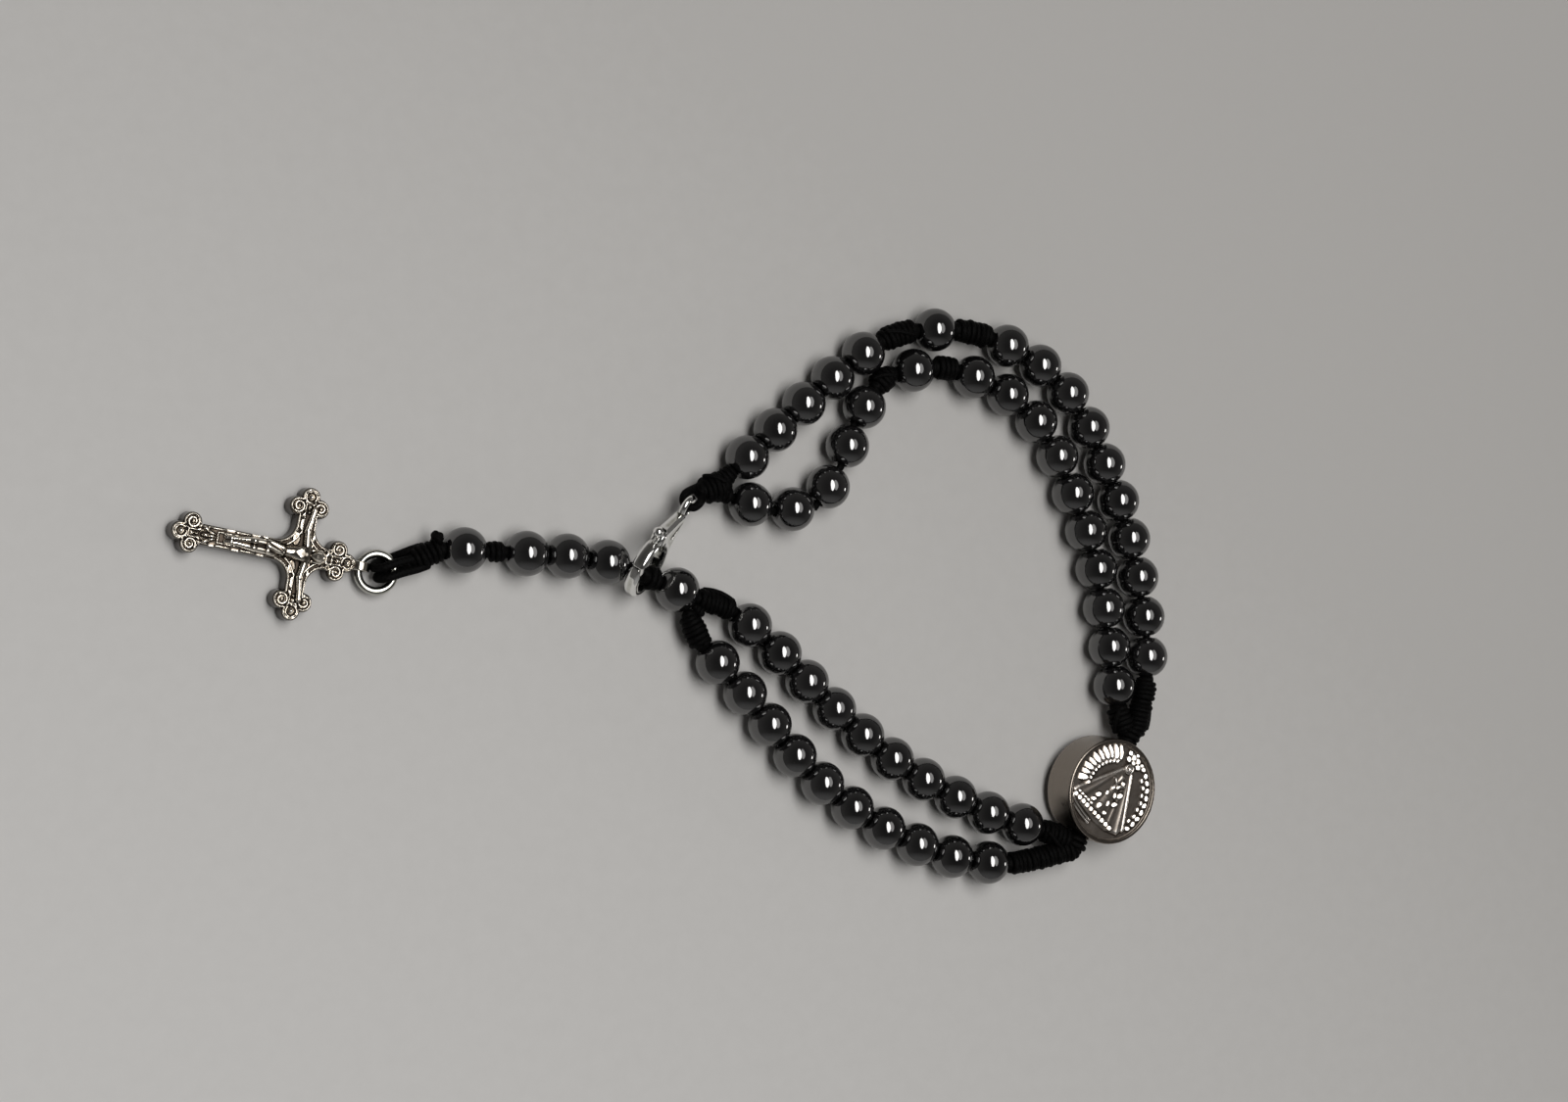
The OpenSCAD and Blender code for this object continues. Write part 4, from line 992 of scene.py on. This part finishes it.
def hem_relief(u, v, lift):
    """Hem with round studs, and two raised bands under it."""
    for k in range(10):
        lift(facet(u, v, (-3.95 + 0.72 * k, -3.45), 0.33, 0.3, 0.18, 0, CATCH), 0.18)
    for k in range(5):
        lift(facet(u, v, (-3.75 + 0.56 * k, -2.88), 0.22, 0.18, 0.12, 0, CATCH), 0.2)
    for drop, w in ((0.0, 0.15), (0.36, 0.13)):
        band = [(-4.75 + 0.1 * drop, -3.3 - drop), (-3.9, -3.93 - drop), (-2.9, -4.22 - drop),
                (-1.6, -4.42 - drop), (-0.2, -4.5 - drop)]
        ends = np.clip((u + 4.9) / 0.9, 0, 1) * np.clip((0.3 - u) / 1.2, 0, 1)
        lift(ridge(stroke(u, v, smooth(band, 4)), w + 0.05, 0.3) * ends)


def head_relief(u, v, lift):
    """Plain head with a veil and a crown."""
    lift(ridge(np.abs(np.hypot(u, v - 3.42) - 0.52), 0.15, 0.36), 0.06)
    lift(dome(u, v, (0, 3.4), 0.36, 0.44, 0.4), 0.16)
    lift(dome(u, v, (0, 3.38), 0.05, 0.11, 0.1), 0.52)
    for cu, cv, size in CROWN:
        lift(facet(u, v, (cu, cv), size * 1.1, size * 0.95, 0.2, 30 * cu, CATCH), 0.14)


def rays_relief(x, y, lift):
    """Rays, broad and narrow by turns, with a lower row inside them."""
    for k in range(10):
        big = 0.06 * (k % 2)
        for rad, turn, long, wide, top in ((4.7, 107, 0.98, 0.32 + big, 0.28 + big),
                                           (3.85, 111.4, 0.5, 0.28, 0.26)):
            turn = turn + 8.8 * k
            lift(facet(x, y, rad * toward(turn), long, wide, 0.75 * top, turn + 12, LIGHT_SIDE))


def dots_relief(x, y, lift):
    for k in range(10):
        turn = -32 + 10.2 * k
        lift(facet(x, y, 5.02 * toward(turn), 0.38, 0.28, 0.24, turn + 60 + 40 * (k % 2), LIGHT_SIDE))
    for k in range(7):
        turn = -24 + 11.5 * k
        lift(facet(x, y, (4.35 + 0.12 * (k % 2)) * toward(turn), 0.29, 0.22, 0.2, turn + 90, LIGHT_SIDE))


def medal_relief(x, y):
    """Height over the rim: figure in a wide mantle, rays on its left, two rows of dots on its right."""
    x, y = np.broadcast_arrays(x, y)
    h = np.zeros(x.shape)

    def lift(new, base=0.0):
        np.maximum(h, np.where(new > 0, new + base, 0), out=h)

    # the figure's own directions
    u = x * math.cos(FIGURE_LEAN) - y * math.sin(FIGURE_LEAN)
    v = x * math.sin(FIGURE_LEAN) + y * math.cos(FIGURE_LEAN)
    for part in (mantle_relief, gown_relief, hem_relief, head_relief):
        part(u, v, lift)
    rays_relief(x, y, lift)
    dots_relief(x, y, lift)
    r = np.hypot(x, y)
    edge = np.clip((r - FIELD_R - 0.06) / 0.12, 0, 1)
    past = np.clip(r - MEDAL_D / 2 + EDGE_ROUND, 0, EDGE_ROUND)
    brow = EDGE_ROUND - np.sqrt(np.clip(EDGE_ROUND ** 2 - past ** 2, 0, None))
    return FIELD_DEPTH * (edge * edge * (3 - 2 * edge) - 1) + h * (1 - edge) - brow


def medal_shape(x, y, z):
    r = np.hypot(x, y)
    f = rounded(r - MEDAL_D / 2, np.maximum(-z, z - 0.4) - MEDAL_T / 2, EDGE_ROUND)
    h = medal_relief(x[:, :, 0], y[:, :, 0])[:, :, None]
    f = smax(f, (z - MEDAL_T / 2 - h) * 0.8, 0.05)
    back = -0.4 * np.clip((FIELD_R - 0.05 - r) / 0.2, 0, 1)
    f = smax(f, (-z - MEDAL_T / 2 - back) * 0.8, 0.06)
    return smax(f, BORE_R - np.hypot(x, z) + 0 * y, 0.12)


# outside the field everything under 2.6 mm, the rim and outer wall, and inside it everything under 1.95 mm,
# takes the side tone: painted shade that dulls them
ob = solid("medal_casting", medal_shape, (-6.35, -6.35, -2.45), (6.35, 6.35, 2.8),
           (0.072, 0.072, 0.09), MEDAL_SILVER,
           (turned(MEDAL_TURN, MEDAL_TILT), medal_place + vec(0, 0, medal_z) - CENTRE),
           lambda p: np.where(np.hypot(p[:, 0], p[:, 1]) > FIELD_R - 0.02, 2.6, 1.95))
fitted(ob, "medal")

# Jump ring, with its cut
pile = Pile()
half_cut, cut_at = math.radians(1.3), math.radians(128)
angles = np.linspace(half_cut, 2 * math.pi - half_cut, 120) + cut_at
path = RING_R * circled(angles, vec(1, 0, 0), vec(0, 1, 0))
tube(pile, path @ turned(ring_turn, -math.degrees(ring_tip)).T + ring_at, RING_WIRE / 2, 20)
fitted(pile.made("jump_ring_wire", BRIGHT), "jump_ring")

# Clasp
CLAW_X, CLAW_IN = 13.2 - CLAW_R - EYE_R, CLAW_R - CLAW_W
PIVOT, CHEEK, LUG_T, LEVER_GAP = vec(-2.75, 2.45), 0.95, 0.6, 0.12
MOUTH = ((2.62, 0.2), (1.7, 3.5))


def lever_side(x, y, gap):
    return poly2(x, y, [(0, 0), (MOUTH[0][0] - gap, MOUTH[0][1]), (MOUTH[1][0] - gap, MOUTH[1][1]),
                        (1, 6), (-7, 6), (-7, 2.6), (-3.4, 1.2)])


def clasp_body_shape(x, y, z):
    # u and v count from the middle of the claw
    u, v = x[:, :, 0] - CLAW_X, y[:, :, 0]
    r = np.hypot(u, v)
    claw = np.maximum(r - CLAW_R, CLAW_IN - r)
    claw = np.maximum(claw, -lever_side(u, v, 0))
    neck = poly2(u, v, [(0.9 - CLAW_X, -0.45), (-3.6, -1.3), (-1.6, -3.1), (-2, -1.4), (-2.3, 1.3),
                        PIVOT, PIVOT + CHEEK * toward(120)[:2], (0.9 - CLAW_X, 0.45)])
    neck = np.maximum(neck, CLAW_IN - r)
    cheek = np.hypot(u - PIVOT[0], v - PIVOT[1]) - CHEEK
    d = smin(smin(claw, neck, 0.2), np.maximum(cheek, CLAW_IN - r), 0.15)[:, :, None]
    thick = CLAW_T / 2 - 0.1 * np.clip((-u - 2.9) / 2.5, 0, 1)[:, :, None]
    f = rounded(d, np.abs(z) - thick, 0.52)
    slot = np.minimum(cheek - LEVER_GAP, poly2(u, v, [
        PIVOT + vec(-0.3, -CHEEK - 0.1), PIVOT + vec(3, -2),
        PIVOT + vec(3, 1.4), PIVOT + vec(-0.3, CHEEK + 0.1)]))[:, :, None]
    slot = np.maximum(slot, np.abs(z) - (LUG_T / 2 + LEVER_GAP))
    f = smax(f, -slot, 0.04)
    pin = np.hypot(x - CLAW_X - PIVOT[0], y - PIVOT[1])
    f = np.minimum(f, np.maximum(pin - 0.33, np.abs(z) - CLAW_T / 2 + 0.02))
    # hollow down each side of the neck, a groove along the claw and a collar at the eye
    side = capsule(x, y, np.abs(z) - 0.98, (CLAW_X - 5.9, 0.05, 0), (CLAW_X - 4.1, 0.6, 0), 0.36, 0.52)
    f = smax(f, -side, 0.1)
    groove = np.maximum(np.abs(r - (CLAW_R + CLAW_IN) / 2) - 0.1, 0.4 - u)[:, :, None]
    f = smax(f, -np.maximum(groove, 0.7 - np.abs(z)), 0.06)
    collar = np.hypot(np.hypot(y, z) - 0.52, x - 1.62) - 0.2
    f = smin(f, collar, 0.1)
    eye = np.hypot(np.hypot(x, y) - EYE_MID, z) - EYE_WIRE / 2
    return smin(f, eye, 0.12)


def clasp_lever_shape(x, y, z):
    # u and v count from the middle of the claw
    u, v = x[:, :, 0] - CLAW_X, y[:, :, 0]
    r = np.hypot(u, v)
    cheek = np.hypot(u - PIVOT[0], v - PIVOT[1])
    arc = np.maximum(np.maximum(r - CLAW_R, CLAW_IN - r), lever_side(u, v, LEVER_GAP))
    arc = np.maximum(arc, -poly2(u, v, [(0, 0), PIVOT * 3, PIVOT * 3 + vec(-9, -9)]))
    arc = np.maximum(arc, CHEEK + LEVER_GAP - cheek)
    wide = rounded(arc[:, :, None], np.abs(z) - CLAW_T / 2, 0.5)
    far = lambda rad: rad * toward(108)[:2]
    lug = np.minimum(cheek - CHEEK + 0.05, poly2(u, v, [
        PIVOT + vec(0, -0.6), far(CLAW_IN), far(CLAW_R), PIVOT + vec(0, 0.8)]))
    lug = rounded(lug[:, :, None], np.abs(z) - LUG_T / 2, 0.08)
    f = smin(wide, lug, 0.06)
    cx = x - CLAW_X
    f = smin(f, capsule(cx, y, z, (PIVOT[0], PIVOT[1], 0), (PIVOT[0], PIVOT[1] + 1.9, 0), 0.3, 0.26), 0.1)
    f = smin(f, ball(cx, y, z, (PIVOT[0], PIVOT[1] + 1.9, 0), 0.6), 0.12)
    return smax(f, 0.4 - np.hypot(cx - PIVOT[0], y - PIVOT[1]) + 0 * z, 0.03)


clasp_turned = turned(CLASP_TURN, 0, 90 + CLASP_LEAN)
for name, shape, low, high, body in (
        ("clasp_body", clasp_body_shape, (-1.75, -4.0, -1.05), (12.0, 4.4, 1.05), "bracelet"),
        ("clasp_lever", clasp_lever_shape, (4.0, -0.2, -1.05), (11.2, 5.6, 1.05), "lever")):
    ob = solid(name + "_casting", shape, low, high, 0.062, BRIGHT, (clasp_turned, clasp_at), lambda p: -2.0)
    fitted(ob, name, body)


# Floor, light and camera
FLOOR_HALF = 1500


def floor():
    """Large sheet with painted light: its colour falls off from the lower left to the upper right, standing
    in for the lamps' uneven light.
    """
    m, t, b = nodes_of("table")
    grain = noise(t, 500, 4, 0.6)
    axes = t.nodes.new("ShaderNodeSeparateXYZ")
    t.links.new(t.nodes.new("ShaderNodeTexCoord").outputs["Object"], axes.inputs[0])
    # painted light: the colour is lighter toward the lower left and darker toward the upper right; only the
    # grain is the sheet's own
    painted_light_falloff = plus(t, axes.outputs[0], times(t, axes.outputs[1], 1.35))
    shade = plus(t, plus(t, times(t, painted_light_falloff, 2.5), times(t, grain, 0.12)), 0.44)
    t.links.new(ramp(t, shade, [(0.0, (0.735, 0.729, 0.72)), (0.25, (0.65, 0.644, 0.635)),
                                (0.5, (0.565, 0.558, 0.548)), (0.71, (0.495, 0.487, 0.476)),
                                (0.98, (0.468, 0.459, 0.448))]),
                b.inputs["Base Color"])
    b.inputs["Roughness"].default_value = 0.6
    b.inputs["Specular IOR Level"].default_value = 0.25
    bumped(t, b, grain, 0.05, 0.0001)
    corners = [(x * FLOOR_HALF, y * FLOOR_HALF, 0) for x, y in ((-1, -1), (1, -1), (1, 1), (-1, 1))]
    ob = build("table_top", corners, [[[0, 1, 2, 3]]], m)
    ob.location.z = -0.00002


floor()


def placed(ob, at, back, up):
    """Puts a lamp or camera at a point, looking away from back."""
    z = back.normalized()
    x = up.cross(z).normalized()
    ob.matrix_world = Matrix.Translation(at) @ Matrix((x, z.cross(x), z)).transposed().to_4x4()
    scene.collection.objects.link(ob)


def light(name, away, azimuth, elevation, width, height, power, colour):
    a, e = math.radians(azimuth), math.radians(elevation)
    d = Vector((math.cos(e) * math.cos(a), math.cos(e) * math.sin(a), math.sin(e)))
    lamp = bpy.data.lights.new(name, "AREA")
    lamp.shape = "ELLIPSE"
    lamp.size, lamp.size_y, lamp.energy, lamp.color = width, height, power, colour
    placed(bpy.data.objects.new(name, lamp), d * away, d, Vector((0, 1, 0)))


light("key", 0.62, 80, 82, 0.22, 0.64, 2.5, (1.0, 0.985, 0.965))
light("strip", 0.62, 24, 68, 0.24, 0.56, 0.42, (1.0, 0.985, 0.965))
light("side", 1.4, -8, 12, 0.18, 0.24, 0.8, (1.0, 0.97, 0.94))
world = bpy.data.worlds.new("room")
scene.world = world
world.use_nodes = True
wt = world.node_tree
axes = wt.nodes.new("ShaderNodeSeparateXYZ")
wt.links.new(wt.nodes.new("ShaderNodeTexCoord").outputs["Generated"], axes.inputs[0])
sky = ramp(wt, axes.outputs[2], [(0.0, (0.11, 0.107, 0.103)), (0.35, (0.085, 0.082, 0.079)),
                                 (0.75, (0.045, 0.0435, 0.042)), (1.0, (0.025, 0.0245, 0.024))])
glow = ramp(wt, times(wt, axes.outputs[1], -1.0), [(0.6, 0.0), (0.92, 0.14)])
wt.links.new(mixed(wt, 1.0, sky, glow, "ADD"), wt.nodes["Background"].inputs["Color"])

cam = bpy.data.cameras.new("camera")
SENSOR, PHOTO_WIDTH, FOCAL_PIXELS = 36.0, 1600, 3300
cam.sensor_width, cam.sensor_fit, cam.lens = SENSOR, "HORIZONTAL", FOCAL_PIXELS / PHOTO_WIDTH * SENSOR
cam_ob = bpy.data.objects.new("camera", cam)
CAMERA_UP, CAMERA_AWAY = math.radians(65), 366.67
back = Vector((-math.cos(CAMERA_UP), 0, math.sin(CAMERA_UP)))
placed(cam_ob, Vector(-CENTRE) * MM + back * CAMERA_AWAY * MM, back, Vector((0, 1, 0)))
cam.clip_start, cam.clip_end = 0.01, 10
scene.camera = cam_ob
scene.view_settings.view_transform = "Standard"
